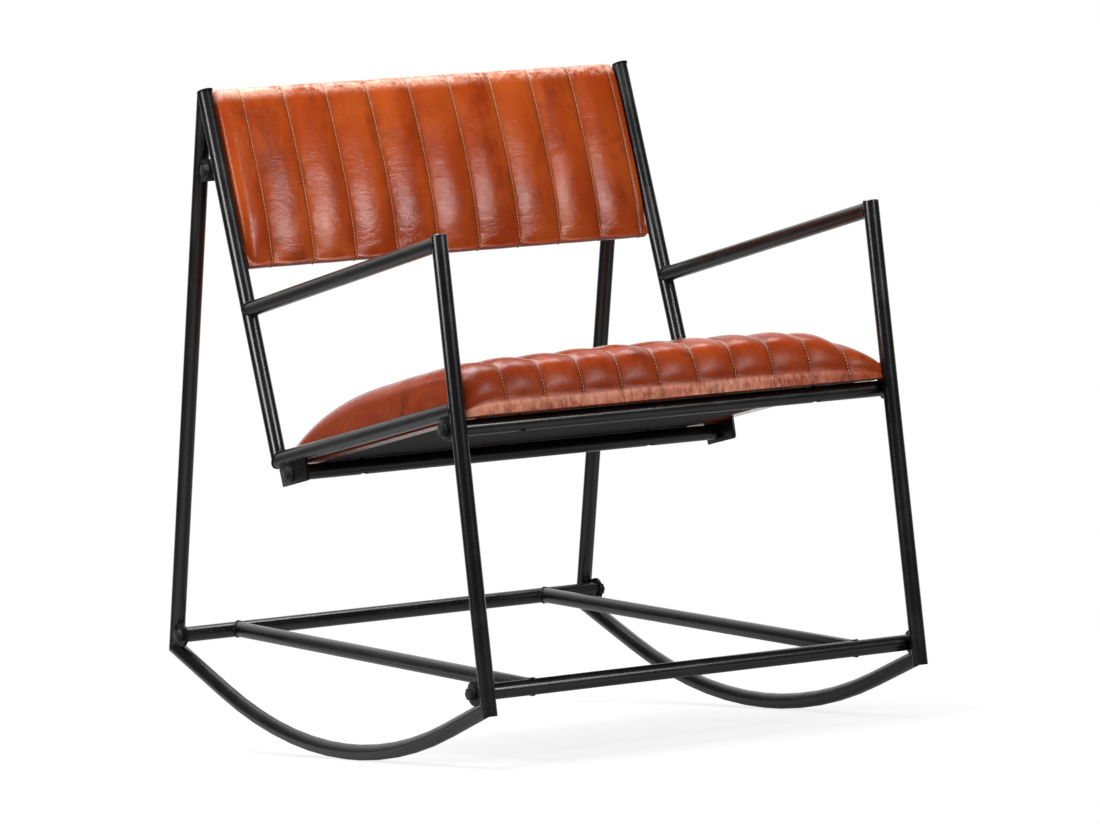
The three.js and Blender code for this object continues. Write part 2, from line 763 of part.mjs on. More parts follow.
const sideTubes = {
  rocker: makeRocker(),
  rear_leg: makeRearLeg(),
  back_post: makeBackPost(),
  seat_rail: makeSeatRail(),
  arm: makeArm(),
  front_leg: makeFrontLeg(),
  apex_cap: makeApexCap(),
  leg_cap: makeLegCap(),
};
const tubeGeometries = Object.entries(sideTubes).map(([name, solid]) => [name, geometryOf(solid)]);

for (const [side, label] of [[1, 'left'], [-1, 'right']]) {
  const frame = new THREE.Group();
  frame.position.x = side * trackWidth * halfShare;
  for (const [name, geometry] of tubeGeometries) frame.add(piece(`${name}_${label}`, geometry, blackPaint));
  const plates = {
    base_front_lug: makeLug(baseFrontSpot, rearOf(frontLegUp), baseTubeGap, side),
    base_rear_lug: makeLug(baseRearSpot, aheadOf(rearLegUp), baseRearTubeGap, side),
    seat_front_plate: makeSeatFrontPlate(side),
    seat_rear_plate: makeSeatRearPlate(side),
    back_plate: makeBackPlate(side),
  };
  for (const [name, solid] of Object.entries(plates)) {
    const plate = piece(`${name}_${label}`, geometryOf(solid), blackPaint);
    plate.position.x = side * plateMiddle;
    frame.add(plate);
  }
  chair.add(frame);
}

const crossTubes = {
  base_front_tube: crossTube(baseFrontSpot),
  base_rear_tube: crossTube(baseRearSpot),
  seat_front_tube: drilled(crossTube(seatFrontSpot), seatFrontSpot, seatUp, seatScrewPlaces),
  seat_rear_tube: drilled(crossTube(seatRearSpot), seatRearSpot, seatUp, seatScrewPlaces),
  back_tube: drilled(crossTube(backTubeSpot), backTubeSpot, aheadOf(backPostUp), backScrewPlaces),
};
for (const [name, solid] of Object.entries(crossTubes)) chair.add(piece(name, geometryOf(solid), blackPaint));

const longGeometry = geometryOf(makeLongTube());
for (const [side, label] of [[1, 'left'], [-1, 'right']]) {
  const long = piece(`base_long_tube_${label}`, longGeometry, blackPaint);
  long.position.x = side * longTubePlace;
  chair.add(long);
}

const boltGeometry = geometryOf(makeBolt(washerRadius));
const wideBoltGeometry = geometryOf(makeBolt(wideWasherRadius));
const boltPlaces = [
  ['base_front_bolt', baseFrontSpot, boltGeometry],
  ['base_rear_bolt', baseRearSpot, boltGeometry],
  ['seat_front_bolt', seatFrontSpot, boltGeometry],
  ['seat_rear_bolt', seatRearSpot, wideBoltGeometry],
  ['back_bolt', backTubeSpot, boltGeometry],
];
for (const [name, place, geometry] of boltPlaces) {
  for (const [side, label] of [[1, 'left'], [-1, 'right']]) {
    const bolt = piece(`${name}_${label}`, geometry, blackPaint);
    bolt.position.copy(inPlane(place, side * boltSeat));
    bolt.rotation.z = side > 0 ? 0 : Math.PI;
    chair.add(bolt);
  }
}

// The seat's +Y runs down the rail to the rear, and the back's +Y up the post.
const seatTurn = -rad(seatSlopeDegrees);
const backTurn = Math.PI * halfShare - rad(backPostLeanDegrees);
const padGroups = [
  ['seat', seatPad, seatScrewSpots, -seatTubeDrop, seatTurn],
  ['back', backPad, backScrewSpots, -tubeDiameter - backTubeGap, backTurn],
];
for (const [name, pad, screwSpots, tubeLevel, turn] of padGroups) {
  const group = new THREE.Group();
  group.position.copy(inPlane(seatCorner));
  group.rotation.x = turn;
  const solids = makePad(pad, screwSpots);
  group.add(piece(`${name}_cover`, geometryOf(solids.cover), tanLeather));
  group.add(piece(`${name}_foam`, geometryOf(solids.foam), foamFill));
  group.add(piece(`${name}_board`, geometryOf(solids.board), plywood));
  group.add(piece(`${name}_lining`, geometryOf(solids.lining), darkLining));
  const screwGeometry = geometryOf(makeScrew(solids.screwDepth(-tubeLevel)));
  screwSpots.forEach(([x, y], i) => {
    const screw = piece(`${name}_screw_${i + 1}`, screwGeometry, blackPaint);
    screw.position.set(x, y, tubeLevel);
    group.add(screw);
  });
  chair.add(group);
}

// The origin is under the middle of the chair, on the floor.
const bounds = new THREE.Box3().setFromObject(chair, true);
const middle = bounds.getCenter(new THREE.Vector3());
chair.position.set(0, -middle.y, -bounds.min.z);

export default chair;
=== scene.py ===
import json
import math

import bmesh
import bpy
from mathutils import Matrix, Vector, noise

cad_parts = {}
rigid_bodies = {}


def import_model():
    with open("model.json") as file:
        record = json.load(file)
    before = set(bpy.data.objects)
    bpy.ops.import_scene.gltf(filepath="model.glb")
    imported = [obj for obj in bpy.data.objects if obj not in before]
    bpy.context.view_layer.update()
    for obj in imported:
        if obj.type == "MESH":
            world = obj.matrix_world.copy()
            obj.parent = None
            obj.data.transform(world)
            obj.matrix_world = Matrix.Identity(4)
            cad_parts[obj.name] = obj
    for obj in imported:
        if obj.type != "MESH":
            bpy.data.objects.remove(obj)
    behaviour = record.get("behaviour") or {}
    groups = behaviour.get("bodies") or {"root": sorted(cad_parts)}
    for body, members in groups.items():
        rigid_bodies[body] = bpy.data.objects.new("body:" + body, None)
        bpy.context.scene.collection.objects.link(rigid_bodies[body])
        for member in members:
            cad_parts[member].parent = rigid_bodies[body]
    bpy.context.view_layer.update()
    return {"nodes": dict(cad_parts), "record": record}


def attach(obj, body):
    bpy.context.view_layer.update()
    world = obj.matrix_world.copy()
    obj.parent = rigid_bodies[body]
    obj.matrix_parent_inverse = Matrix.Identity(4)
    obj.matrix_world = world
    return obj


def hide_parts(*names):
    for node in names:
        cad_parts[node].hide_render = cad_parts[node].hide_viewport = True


scene = bpy.context.scene
for old in list(bpy.data.objects):  # the start-up scene's cube, lamp and camera
    bpy.data.objects.remove(old)

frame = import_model()
nodes = frame["nodes"]
print("loaded", len(nodes), "nodes")

sides = ("left", "right")
acrossChair = Vector((1, 0, 0))  # to the sitter's left
touching = 0.0001  # places closer than this are the same one

# The chair's own lines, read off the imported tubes

tubeReading = {
    "longEdge": 0.6,  # share of the longest edge from which an edge may run along the tube
    "parallel": 0.9999999,  # cosine between two such edges
}


def extent(spots):
    # the lowest and the highest corner of the box round some points
    low = Vector([min(s[i] for s in spots) for i in range(3)])
    high = Vector([max(s[i] for s in spots) for i in range(3)])
    return low, high


def restPoint():
    # the chair's middle on the floor, where it balances
    place = next(m["pos_m"] for m in frame["record"]["mounts"] if m["name"] == "floor_left")
    return Vector((0, place[1], place[2]))


def parallel(one, other):
    return abs(one.dot(other)) > tubeReading["parallel"]


def tubeLine(name):
    # axis direction, two end points and radius of a straight tube node
    mesh = nodes[name].data
    runs = [(mesh.vertices[e.vertices[0]].co, mesh.vertices[e.vertices[1]].co) for e in mesh.edges]
    least = max((q - p).length for p, q in runs) * tubeReading["longEdge"]
    runs = [(p, (q - p).normalized()) for p, q in runs if (q - p).length > least]
    along = max((d for p, d in runs), key=lambda d: sum(parallel(d, e) for p, e in runs))
    spots = [p - along * p.dot(along) for p, d in runs if parallel(d, along)]
    low, high = extent(spots)
    middle = (low + high) / 2
    reach = [v.co.dot(along) for v in mesh.vertices]
    return {
        "along": along,
        "start": middle + along * min(reach),
        "end": middle + along * max(reach),
        "radius": max((s - middle).length for s in spots),
    }


def meeting(one, other):
    # the point of line one that is nearest to line other
    a, b = one["start"], other["start"]
    d, e = one["along"], other["along"]
    gap = b - a
    mix = d.dot(e)
    return a + d * ((gap.dot(d) - gap.dot(e) * mix) / (1 - mix * mix))


def nearestOn(line, point):
    return line["start"] + line["along"] * (point - line["start"]).dot(line["along"])


tubeParts = ("rear_leg", "back_post", "seat_rail", "arm", "front_leg", "base_long_tube")
crossTubes = ("base_front_tube", "base_rear_tube", "seat_front_tube", "seat_rear_tube", "back_tube")
lines = {f"{part}_{side}": tubeLine(f"{part}_{side}") for part in tubeParts for side in sides}
lines.update({name: tubeLine(name) for name in crossTubes})
tubeRadius = lines["front_leg_left"]["radius"]

# The rocker's arc sweeps this many degrees each way from straight below its centre.
rocker = {"centreHeight": 0.8875, "rearSweep": 22.19, "frontSweep": 15.98}


def nearestOnRocker(point):
    # the rocker's middle line: an arc about a point above the floor, and straight ends that carry it on
    middle = restPoint() + Vector((0, 0, rocker["centreHeight"]))
    middle.x = math.copysign(lines["front_leg_left"]["start"].x, point.x)
    spoke = point - middle
    turn = math.atan2(spoke.y, -spoke.z)
    held = min(max(turn, -math.radians(rocker["frontSweep"])), math.radians(rocker["rearSweep"]))
    out = Vector((0, math.sin(held), -math.cos(held)))
    along = Vector((0, math.cos(held), math.sin(held)))
    reach = spoke.dot(along) if turn != held else 0
    return middle + out * (rocker["centreHeight"] - tubeRadius) + along * reach


# Shader maths


class Wire:
    # one output of a material's nodes: sums and products of wires add Math nodes
    def __init__(self, board, socket):
        self.board = board
        self.socket = socket

    def maths(self, operation, first, second):
        return self.board.node("Math", {"operation": operation}, {0: first, 1: second})

    def __add__(self, other):
        return self.maths("ADD", self, other)

    def __radd__(self, other):
        return self.maths("ADD", other, self)

    def __mul__(self, other):
        return self.maths("MULTIPLY", self, other)

    def __rmul__(self, other):
        return self.maths("MULTIPLY", other, self)


class Board:
    # the nodes of one material or of the world
    def __init__(self, owner):
        owner.use_nodes = True
        self.owner = owner
        self.tree = owner.node_tree
        self.tree.nodes.clear()

    def node(self, kind, settings=None, sockets=None, output=0):
        made = self.tree.nodes.new("ShaderNode" + kind)
        for key, value in (settings or {}).items():
            setattr(made, key, value)
        for key, value in (sockets or {}).items():
            if isinstance(value, Wire):
                self.tree.links.new(value.socket, made.inputs[key])
            else:
                made.inputs[key].default_value = value
        return Wire(self, made.outputs[output]) if len(made.outputs) else None

    def where(self):
        return self.node("TexCoord", output="Object")

    def stretched(self, where, by):
        return self.node("VectorMath", {"operation": "MULTIPLY"}, {0: where, 1: by})

    def cloud(self, where, scale, detail, rough=0.5, bend=0.0):
        return self.node("TexNoise", {}, {
            "Vector": where, "Scale": scale, "Detail": detail, "Roughness": rough, "Distortion": bend})

    def drawnCloud(self, where, look):
        # a cloud that is drawn out one way
        return self.cloud(self.stretched(where, look["stretch"]), *look["cloud"])

    def between(self, value, low, high):
        # 0 up to the low level and 1 from the high level on
        return self.node("MapRange", {"interpolation_type": "SMOOTHSTEP"}, {
            "Value": value, "From Min": low, "From Max": high})

    def standingOut(self, cloud, look):
        # the spots of a cloud, from 0 to the look's share
        return self.between(cloud, *look["span"]) * look["share"]

    def spots(self, where, look):
        return self.standingOut(self.cloud(where, *look["cloud"]), look)

    def bands(self, where, way, scale, bend):
        return self.node("TexWave", {"bands_direction": way}, {
            "Vector": where, "Scale": scale, "Distortion": bend}, "Fac")

    def mixed(self, share, first, second):
        return self.node("Mix", {"data_type": "RGBA"}, {0: share, 6: first, 7: second}, 2)

    def bumped(self, height, distance, strength=1.0, under=None):
        sockets = {"Height": height, "Distance": distance, "Strength": strength}
        if under:
            sockets["Normal"] = under
        return self.node("Bump", {}, sockets)

    def blended(self, share, first, second):
        return self.node("MixShader", {}, {0: share, 1: first, 2: second})

    def attribute(self, name):
        return self.node("Attribute", {"attribute_name": name}, {}, "Fac")

    def rays(self):
        kinds = ("Camera", "Transmission", "Glossy")
        return [self.node("LightPath", output=f"Is {kind} Ray") for kind in kinds]

    def surface(self, shader):
        self.node("OutputMaterial", {}, {"Surface": shader})
        return self.owner

    def principled(self, sockets):
        return self.surface(self.node("BsdfPrincipled", {}, sockets))


def newBoard(name):
    return Board(bpy.data.materials.new(name))


def linear(*levels):
    # a colour as it is seen on a screen, 0 to 255, as the light that it stands for
    share = [level / 255 for level in levels]
    return (*[s / 12.92 if s <= 0.04045 else ((s + 0.055) / 1.055) ** 2.4 for s in share], 1)


# In each look, a cloud is a noise's scale, detail, roughness and distortion. Its spots start and are full at
# the two levels of their span, and then cover their share. Depths are in metres.

tubePaint = {
    "colour": linear(13, 13, 14),
    "dull": linear(20, 20, 21),
    "dust": {"cloud": (18, 3), "span": (0.45, 0.7), "share": 1},
    "dustRoughness": 0.06,
    "roughness": 0.25,
    "specular": 0.65,
    "waves": (9, 1),
    "waveDepth": 0.0001,
}

platePaint = {**tubePaint, "roughness": 0.36, "specular": 0.25}


def paintMaterial(name, look):
    b = newBoard(name)
    where = b.where()
    dust = b.spots(where, look["dust"])
    return b.principled({
        "Base Color": b.mixed(dust, look["colour"], look["dull"]),
        "Roughness": look["roughness"] + dust * look["dustRoughness"],
        "Specular IOR Level": look["specular"],
        "Normal": b.bumped(b.cloud(where, *look["waves"]), look["waveDepth"]),
    })


boltSteel = {
    "colour": linear(30, 30, 31),
    "worn": linear(84, 82, 80),
    "rubbed": {"cloud": (420, 4, 0.65), "span": (0.52, 0.72), "share": 1},
    "wornShare": 0.6,
    "metallic": 0.2,
    "wornMetallic": 0.5,
    "roughness": 0.34,
    "grain": (900, 2),
    "grainRoughness": 0.2,
    "pits": (1300, 2),
    "pitDepth": 0.00003,
}


def boltMaterial(name, look):
    b = newBoard(name)
    where = b.where()
    rubbed = b.spots(where, look["rubbed"])
    return b.principled({
        "Base Color": b.mixed(rubbed * look["wornShare"], look["colour"], look["worn"]),
        "Metallic": rubbed * look["wornMetallic"] + look["metallic"],
        "Roughness": look["roughness"] + b.cloud(where, *look["grain"]) * look["grainRoughness"],
        "Normal": b.bumped(b.cloud(where, *look["pits"]), look["pitDepth"]),
    })


backHide = {
    "warm": linear(158, 69, 22),
    "body": linear(138, 50, 10),
    "deep": linear(110, 35, 7),
    "dark": linear(80, 23, 7),
    # pale: worn leather, and also a painted highlight, along the back's top edge
    "paleAndHighlight": linear(228, 180, 158),
    "drawn": (1.5, 0.7, 1.2),  # patches and stains are longest along the channels
    "patches": {"cloud": (9, 4, 0.6, 0.4), "span": (0.36, 0.66), "share": 1},
    "stains": {"cloud": (13, 4, 0.6), "span": (0.5, 0.72), "share": 0.75},
    "blotches": {"cloud": (26, 5, 0.62, 0.4), "span": (0.54, 0.76), "share": 0.5},
    "specks": {"cloud": (210, 3, 0.6), "span": (0.55, 0.8), "share": 0.25},
    # how dark the painted shade along the seams is
    "seamPaintedShade": 0.55,
    "paleBandPatches": {"cloud": (22, 3, 0.6), "stretch": (0.25, 1.0, 1.0)},
    "streaks": {"cloud": (130, 4, 0.7), "stretch": (1.0, 1.0, 0.4)},
    "paleBandSpan": (0.38, 0.62),
    "wearAndHighlight": 0.9,
    "paleAndHighlightShare": 0.8,
    "rumples": {"cloud": (24, 4, 0.55, 0.8), "depth": 0.002},
    "wrinkles": {"cloud": (75, 5, 0.62, 1.4), "stretch": (0.6, 2.2, 1.0), "depth": 0.0006},
    "pores": {"scale": 480.0, "width": 0.12, "ragged": 60.0, "raggedShare": 0.004, "depth": 0.00005},
    "bumpStrength": 0.5,
    "roughness": 0.12,
    "rougher": {"blotches": 0.14, "rubbed": 0.2, "seam": 0.15, "matt": 0.22},  # what each adds
    "specular": 0.3,
}

seatHide = {
    **backHide,
    "warm": linear(147, 57, 17),
    "body": linear(128, 42, 8),
    "deep": linear(96, 27, 6),
    "dark": linear(58, 16, 7),
    # pale: the worn front edge, together with its painted highlight
    "paleAndHighlight": linear(228, 158, 130),
    "blotches": {**backHide["blotches"], "share": 0.55},
    "wearAndHighlight": 1.0,
    "roughness": 0.07,
    "specular": 0.21,
}


def leatherColour(b, where, look, marks):
    drawn = b.stretched(where, look["drawn"])
    colour = b.mixed(b.spots(drawn, look["patches"]), look["body"], look["warm"])
    colour = b.mixed(b.spots(drawn, look["stains"]), colour, look["deep"])
    colour = b.mixed(b.standingOut(marks["blotches"], look["blotches"]), colour, look["dark"])
    colour = b.mixed(b.spots(where, look["specks"]), colour, look["deep"])
    # painted shade along the seams
    colour = b.mixed(marks["seam"] * look["seamPaintedShade"], colour, look["dark"])
    # pale over the worn edges, which also paints a highlight there
    return b.mixed(marks["rubbed"] * look["paleAndHighlightShare"], colour, look["paleAndHighlight"])


def leatherRelief(b, where, look):
    # pores on small wrinkles on wider rumples
    rumples, wrinkles, pores = look["rumples"], look["wrinkles"], look["pores"]
    strength = look["bumpStrength"]
    ragged = b.node("TexNoise", {}, {"Vector": where, "Scale": pores["ragged"]}, "Color")
    bent = b.node("Mix", {"data_type": "VECTOR"}, {0: pores["raggedShare"], 4: where, 5: ragged}, 1)
    creases = b.node("TexVoronoi", {"feature": "DISTANCE_TO_EDGE"}, {"Vector": bent, "Scale": pores["scale"]})
    wavy = b.bumped(b.cloud(where, *rumples["cloud"]), rumples["depth"], strength)
    folded = b.bumped(b.drawnCloud(where, wrinkles), wrinkles["depth"], strength, wavy)
    return b.bumped(b.between(creases, 0.0, pores["width"]), pores["depth"], strength, folded)


def leatherMaterial(name, look):
    b = newBoard(name)
    where = b.where()
    blotches = b.cloud(where, *look["blotches"]["cloud"])
    # the pale edge band, partly wear and partly a painted highlight, made ragged by two clouds
    worn = b.drawnCloud(where, look["paleBandPatches"]) * 0.5 + b.drawnCloud(where, look["streaks"]) * 0.5
    rubbed = b.attribute("edgeWearAndHighlight") * b.between(worn, *look["paleBandSpan"]) * look["wearAndHighlight"]
    marks = {"blotches": blotches, "rubbed": rubbed, "seam": b.attribute("seam"), "matt": b.attribute("matt")}
    roughness = look["roughness"]
    for mark, wire in marks.items():
        roughness = roughness + wire * look["rougher"][mark]
    return b.principled({
        "Base Color": leatherColour(b, where, look, marks),
        "Roughness": roughness,
        "Specular IOR Level": look["specular"],
        "Normal": leatherRelief(b, where, look),
    })


threadLook = {
    "colour": linear(232, 176, 124),
    "shade": linear(200, 134, 86),
    "twist": (1500, 2),
    "twistSpan": (0.35, 0.7),
    "twistDepth": 0.0001,
    "roughness": 0.6,
    "twistRoughness": 0.2,
}


def threadMaterial(name, look):
    b = newBoard(name)
    twist = b.cloud(b.where(), *look["twist"])
    return b.principled({
        "Base Color": b.mixed(b.between(twist, *look["twistSpan"]), look["shade"], look["colour"]),
        "Roughness": look["roughness"] + twist * look["twistRoughness"],
        "Normal": b.bumped(twist, look["twistDepth"]),
    })


liningLook = {
    "colour": linear(50, 46, 48),
    "shade": linear(28, 26, 27),
    "weaveScale": 143.3121,  # gives threads 2.2 mm apart
    "weaveBend": 0.4,
    "weaveShare": 0.7,
    "patches": (30, 4),
    "patchShare": 0.3,
    "roughness": 0.82,
    "weaveRoughness": 0.1,
    "specular": 0.25,
    "weaveDepth": 0.00012,
    "weaveStrength": 0.7,
}


def liningMaterial(name, look):
    b = newBoard(name)
    where = b.where()
    across, along = [b.bands(where, way, look["weaveScale"], look["weaveBend"]) for way in "XY"]
    cloth = across * along
    tone = cloth * look["weaveShare"] + b.cloud(where, *look["patches"]) * look["patchShare"]
    return b.principled({
        "Base Color": b.mixed(tone, look["shade"], look["colour"]),
        "Roughness": look["roughness"] + cloth * look["weaveRoughness"],
        "Specular IOR Level": look["specular"],
        "Normal": b.bumped(cloth, look["weaveDepth"], look["weaveStrength"]),
    })


plyLook = {
    "light": linear(196, 160, 112),
    "brown": linear(146, 104, 62),
    "grain": {"cloud": (3, 5, 0.6, 0.6), "stretch": (3.0, 60.0, 60.0)},
    "grainShare": 0.7,
    "plies": 110.0,
    "plyBend": 0.6,
    "plyShare": 0.3,
    "roughness": 0.6,
    "grainRoughness": 0.2,
    "grainDepth": 0.0002,
    "grainStrength": 0.5,
}


def plywoodMaterial(name, look):
    b = newBoard(name)
    where = b.where()
    grain = b.drawnCloud(where, look["grain"])
    tone = grain * look["grainShare"] + b.bands(where, "Z", look["plies"], look["plyBend"]) * look["plyShare"]
    return b.principled({
        "Base Color": b.mixed(tone, look["brown"], look["light"]),
        "Roughness": look["roughness"] + grain * look["grainRoughness"],
        "Normal": b.bumped(grain, look["grainDepth"], look["grainStrength"]),
    })


black = paintMaterial("black paint", tubePaint)
plateBlack = paintMaterial("black paint on plates", platePaint)
steel = boltMaterial("black bolt steel", boltSteel)
leathers = {
    "seat": leatherMaterial("cognac seat leather", seatHide),
    "back": leatherMaterial("cognac leather", backHide),
}
thread = threadMaterial("tan thread", threadLook)
liningCloth = liningMaterial("dark lining cloth", liningLook)
plywood = plywoodMaterial("birch plywood", plyLook)

# Mesh helpers


def coat(mesh, material):
    # gives a mesh its one material and shades it smooth
    mesh.materials.clear()
    mesh.materials.append(material)
    mesh.polygons.foreach_set("use_smooth", [True] * len(mesh.polygons))


def outward(mesh):
    # turns every face of a closed mesh outward
    work = bmesh.new()
    work.from_mesh(mesh)
    bmesh.ops.recalc_face_normals(work, faces=work.faces)
    work.to_mesh(mesh)
    work.free()


def splitEdges(piece, angle):
    # edges that turn by more degrees than this are shaded sharp
    piece.modifiers.new("sharp edges", "EDGE_SPLIT").split_angle = math.radians(angle)


def newObject(name, data):
    made = bpy.data.objects.new(name, data)
    scene.collection.objects.link(made)
    return made


def meshObject(name, points, faces):
    mesh = bpy.data.meshes.new(name)
    mesh.from_pydata([tuple(p) for p in points], [], faces)
    return newObject(name, mesh)


def addPiece(name, points, faces, material, place=None):
    # a closed piece of its own on the chair's one body
    piece = meshObject(name, points, faces)
    if place:
        piece.matrix_world = place
    outward(piece.data)
    coat(piece.data, material)
    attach(piece, "root")
    return piece


def ringAt(centre, across, up, reach, count):
    # points evenly round a centre
    turns = [math.tau * k / count for k in range(count)]
    return [centre + across * reach * math.cos(turn) + up * reach * math.sin(turn) for turn in turns]


def ringFaces(first, rings, count, closed=False):
    # faces that join a row of rings of points, and a face over each open end
    faces = []
    for i in range(rings if closed else rings - 1):
        here = first + i * count
        there = first + (i + 1) % rings * count
        for k in range(count):
            n = (k + 1) % count
            faces.append((here + k, here + n, there + n, there + k))
    if not closed:
        last = first + (rings - 1) * count
        faces.append(tuple(range(first, first + count)))
        faces.append(tuple(reversed(range(last, last + count))))
    return faces


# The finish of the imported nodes

finish = {
    "merge": 0.00002,  # corners closer than this are joined
    "flatAngle": 1,  # in degrees, as the two angles below
    "bevelAngle": 40,
    "splitAngle": 33,
    "bevelSteps": 2,
    "boltRounding": 0.0003,
    "plateRounding": 0.0004,
    "roundFacing": 0.96,  # a tube's faces that look away from its middle line by this cosine are its round
}


def dress(name, material, rounding=0.0):
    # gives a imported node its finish, smooth sides and slightly rounded edges
    node = nodes[name]
    coat(node.data, material)
    node.modifiers.new("merge", "WELD").merge_threshold = finish["merge"]
    if rounding:
        flat = node.modifiers.new("flat faces", "DECIMATE")
        flat.decimate_type = "DISSOLVE"
        flat.angle_limit = math.radians(finish["flatAngle"])
        soft = node.modifiers.new("rounded edges", "BEVEL")
        soft.width = rounding
        soft.segments = finish["bevelSteps"]
        soft.limit_method = "ANGLE"
        soft.angle_limit = math.radians(finish["bevelAngle"])
    splitEdges(node, finish["splitAngle"])


def dressTube(name, material):
    # gives a tube its finish, shaded round
    mesh = nodes[name].data
    coat(mesh, material)
    normals = [None] * len(mesh.loops)
    for polygon in mesh.polygons:
        for i in polygon.loop_indices:
            spot = mesh.vertices[mesh.loops[i].vertex_index].co
            centre = nearestOn(lines[name], spot) if name in lines else nearestOnRocker(spot)
            spoke = (spot - centre).normalized()
            facing = polygon.normal.dot(spoke)
            isRound = abs(facing) > finish["roundFacing"]
            normals[i] = spoke * math.copysign(1, facing) if isRound else polygon.normal
    mesh.normals_split_custom_set(normals)


for name in nodes:
    if name.endswith("_board"):
        dress(name, plywood)
    elif "_bolt_" in name or "_screw_" in name:
        dress(name, steel, finish["boltRounding"])
    elif name.rsplit("_", 1)[0].endswith(("_lug", "_plate")):
        dress(name, plateBlack, finish["plateRounding"])
    elif name.endswith(("_cover", "_foam", "_lining")):
        dress(name, leathers[name.split("_")[0]])
    elif name in lines or name.startswith("rocker"):
        dressTube(name, black)
    else:
        dress(name, black)
print("dressed the packed nodes")

# The camera stands as it did for the photograph, which shows the chair rolled back from its balance.

view = {
    "azimuth": -29.76,
    "elevation": 9.61,
    "lens": 216.96,
    "sensor": 36,
    "clipEnd": 100,
    "place": (-3.9095, -6.9315, 1.7323),  # from the point where the rockers touch the floor
    "rolledBack": 9.0,
}


def photographed():
    # from places about the chair as it was photographed to places about the chair at its balance
    up = Vector((0, 0, rocker["centreHeight"]))
    turn = Matrix.Rotation(math.radians(view["rolledBack"]), 4, "X")
    return Matrix.Translation(restPoint() + up) @ turn @ Matrix.Translation(-up)


def addCamera():
    data = bpy.data.cameras.new("camera")
    data.sensor_width = view["sensor"]
    data.lens = view["lens"]
    data.clip_end = view["clipEnd"]
    camera = newObject("camera", data)
    turn = (Matrix.Rotation(math.radians(view["azimuth"]), 4, "Z")
            @ Matrix.Rotation(math.radians(90 - view["elevation"]), 4, "X"))
    camera.matrix_world = photographed() @ Matrix.Translation(view["place"]) @ turn
    scene.camera = camera


addCamera()
print("placed the camera")

# Pads. A pad's frame has x across the chair, +Y to the seat's rear or the back's top, and +Z out of its face.


def padPlace(upNode):
    # the seat corner between the side frames, with +Y up the post or down the rail
    corner = meeting(lines["seat_rail_left"], lines["back_post_left"])
    along = lines[upNode]["along"].copy()
    if (along.z if upNode == "back_post_left" else along.y) < 0:
        along.negate()
    place = Matrix((acrossChair, along, acrossChair.cross(along))).transposed().to_4x4()
    place.translation = Vector((0, corner.y, corner.z))
    return place


def localBox(name, place):
    back = place.inverted()
    return extent([back @ v.co for v in nodes[name].data.vertices])


# The outline runs over the face from the +Y end to the other one, in shares of the pad's length and rise.
# Side -1 is the sitter's right and side 1 the left. Each has its roll's width, drop and roundness.

seatPad = {
    "name": "seat_leather",
    "node": "seat",
    "rise": 0.0545,  # above the rail's axis
    "crown": 0.011,  # how much higher the middle stands than the sides
    "crownPower": 0.5,
    "sides": {-1: (0.021, 0.018, 2.0), 1: (0.105, 0.037, 1.7)},
    "cornerRoll": 0.012,
    "widerFront": 1.4,  # how much wider the roll of side -1 gets at the front
    "channels": 11,
    "margin": 0.0,
    "seamShift": 0.0,
    "channelDepth": 0.0045,
    "rings": 132,
    "swell": 0.0035,  # the most that the cloth simulation may move the leather
    "outlineShares": [
        (-0.008, -0.19), (-0.013, -0.05), (-0.014, 0.1), (-0.006, 0.22), (0.026, 0.345), (0.075, 0.485),
        (0.14, 0.635), (0.21, 0.765), (0.3, 0.88), (0.42, 0.955), (0.58, 0.99), (0.74, 1.01), (0.85, 1.02),
        (0.905, 1.0), (0.938, 0.955), (0.963, 0.88), (0.98, 0.79), (0.992, 0.66), (1.0, 0.5), (1.003, 0.34),
        (1.002, 0.2), (0.9985, 0.115), (1.0025, 0.06), (1.003, -0.08), (1.0015, -0.2),
    ],
}

backPad = {
    "name": "back_leather",
    "node": "back",
    "rise": 0.012,  # above the post's axis
    "crown": 0.004,
    "crownPower": 1.0,
    "sides": {-1: (0.014, 0.009, 2.0), 1: (0.018, 0.01, 2.0)},
    "cornerRoll": 0.003,
    "widerFront": 0,
    "channels": 9,
    "margin": 0.0235,
    "seamShift": 0.0115,  # the quilting sits a little to the sitter's left
    "channelDepth": 0.0038,
    "rings": 112,
    "swell": 0.0028,
    "outlineShares": [
        (0.004, -0.85), (-0.007, -0.5), (-0.01, -0.12), (-0.005, 0.26), (0.009, 0.55), (0.034, 0.75),
        (0.086, 0.89), (0.18, 0.98), (0.3, 1.04), (0.45, 1.06), (0.6, 1.02), (0.7, 0.95), (0.78, 0.84),
        (0.85, 0.69), (0.9, 0.53), (0.94, 0.38), (0.972, 0.2), (0.992, 0.02), (0.9985, -0.2), (1.001, -0.5),
        (0.996, -0.7), (0.988, -0.85),
    ],
}

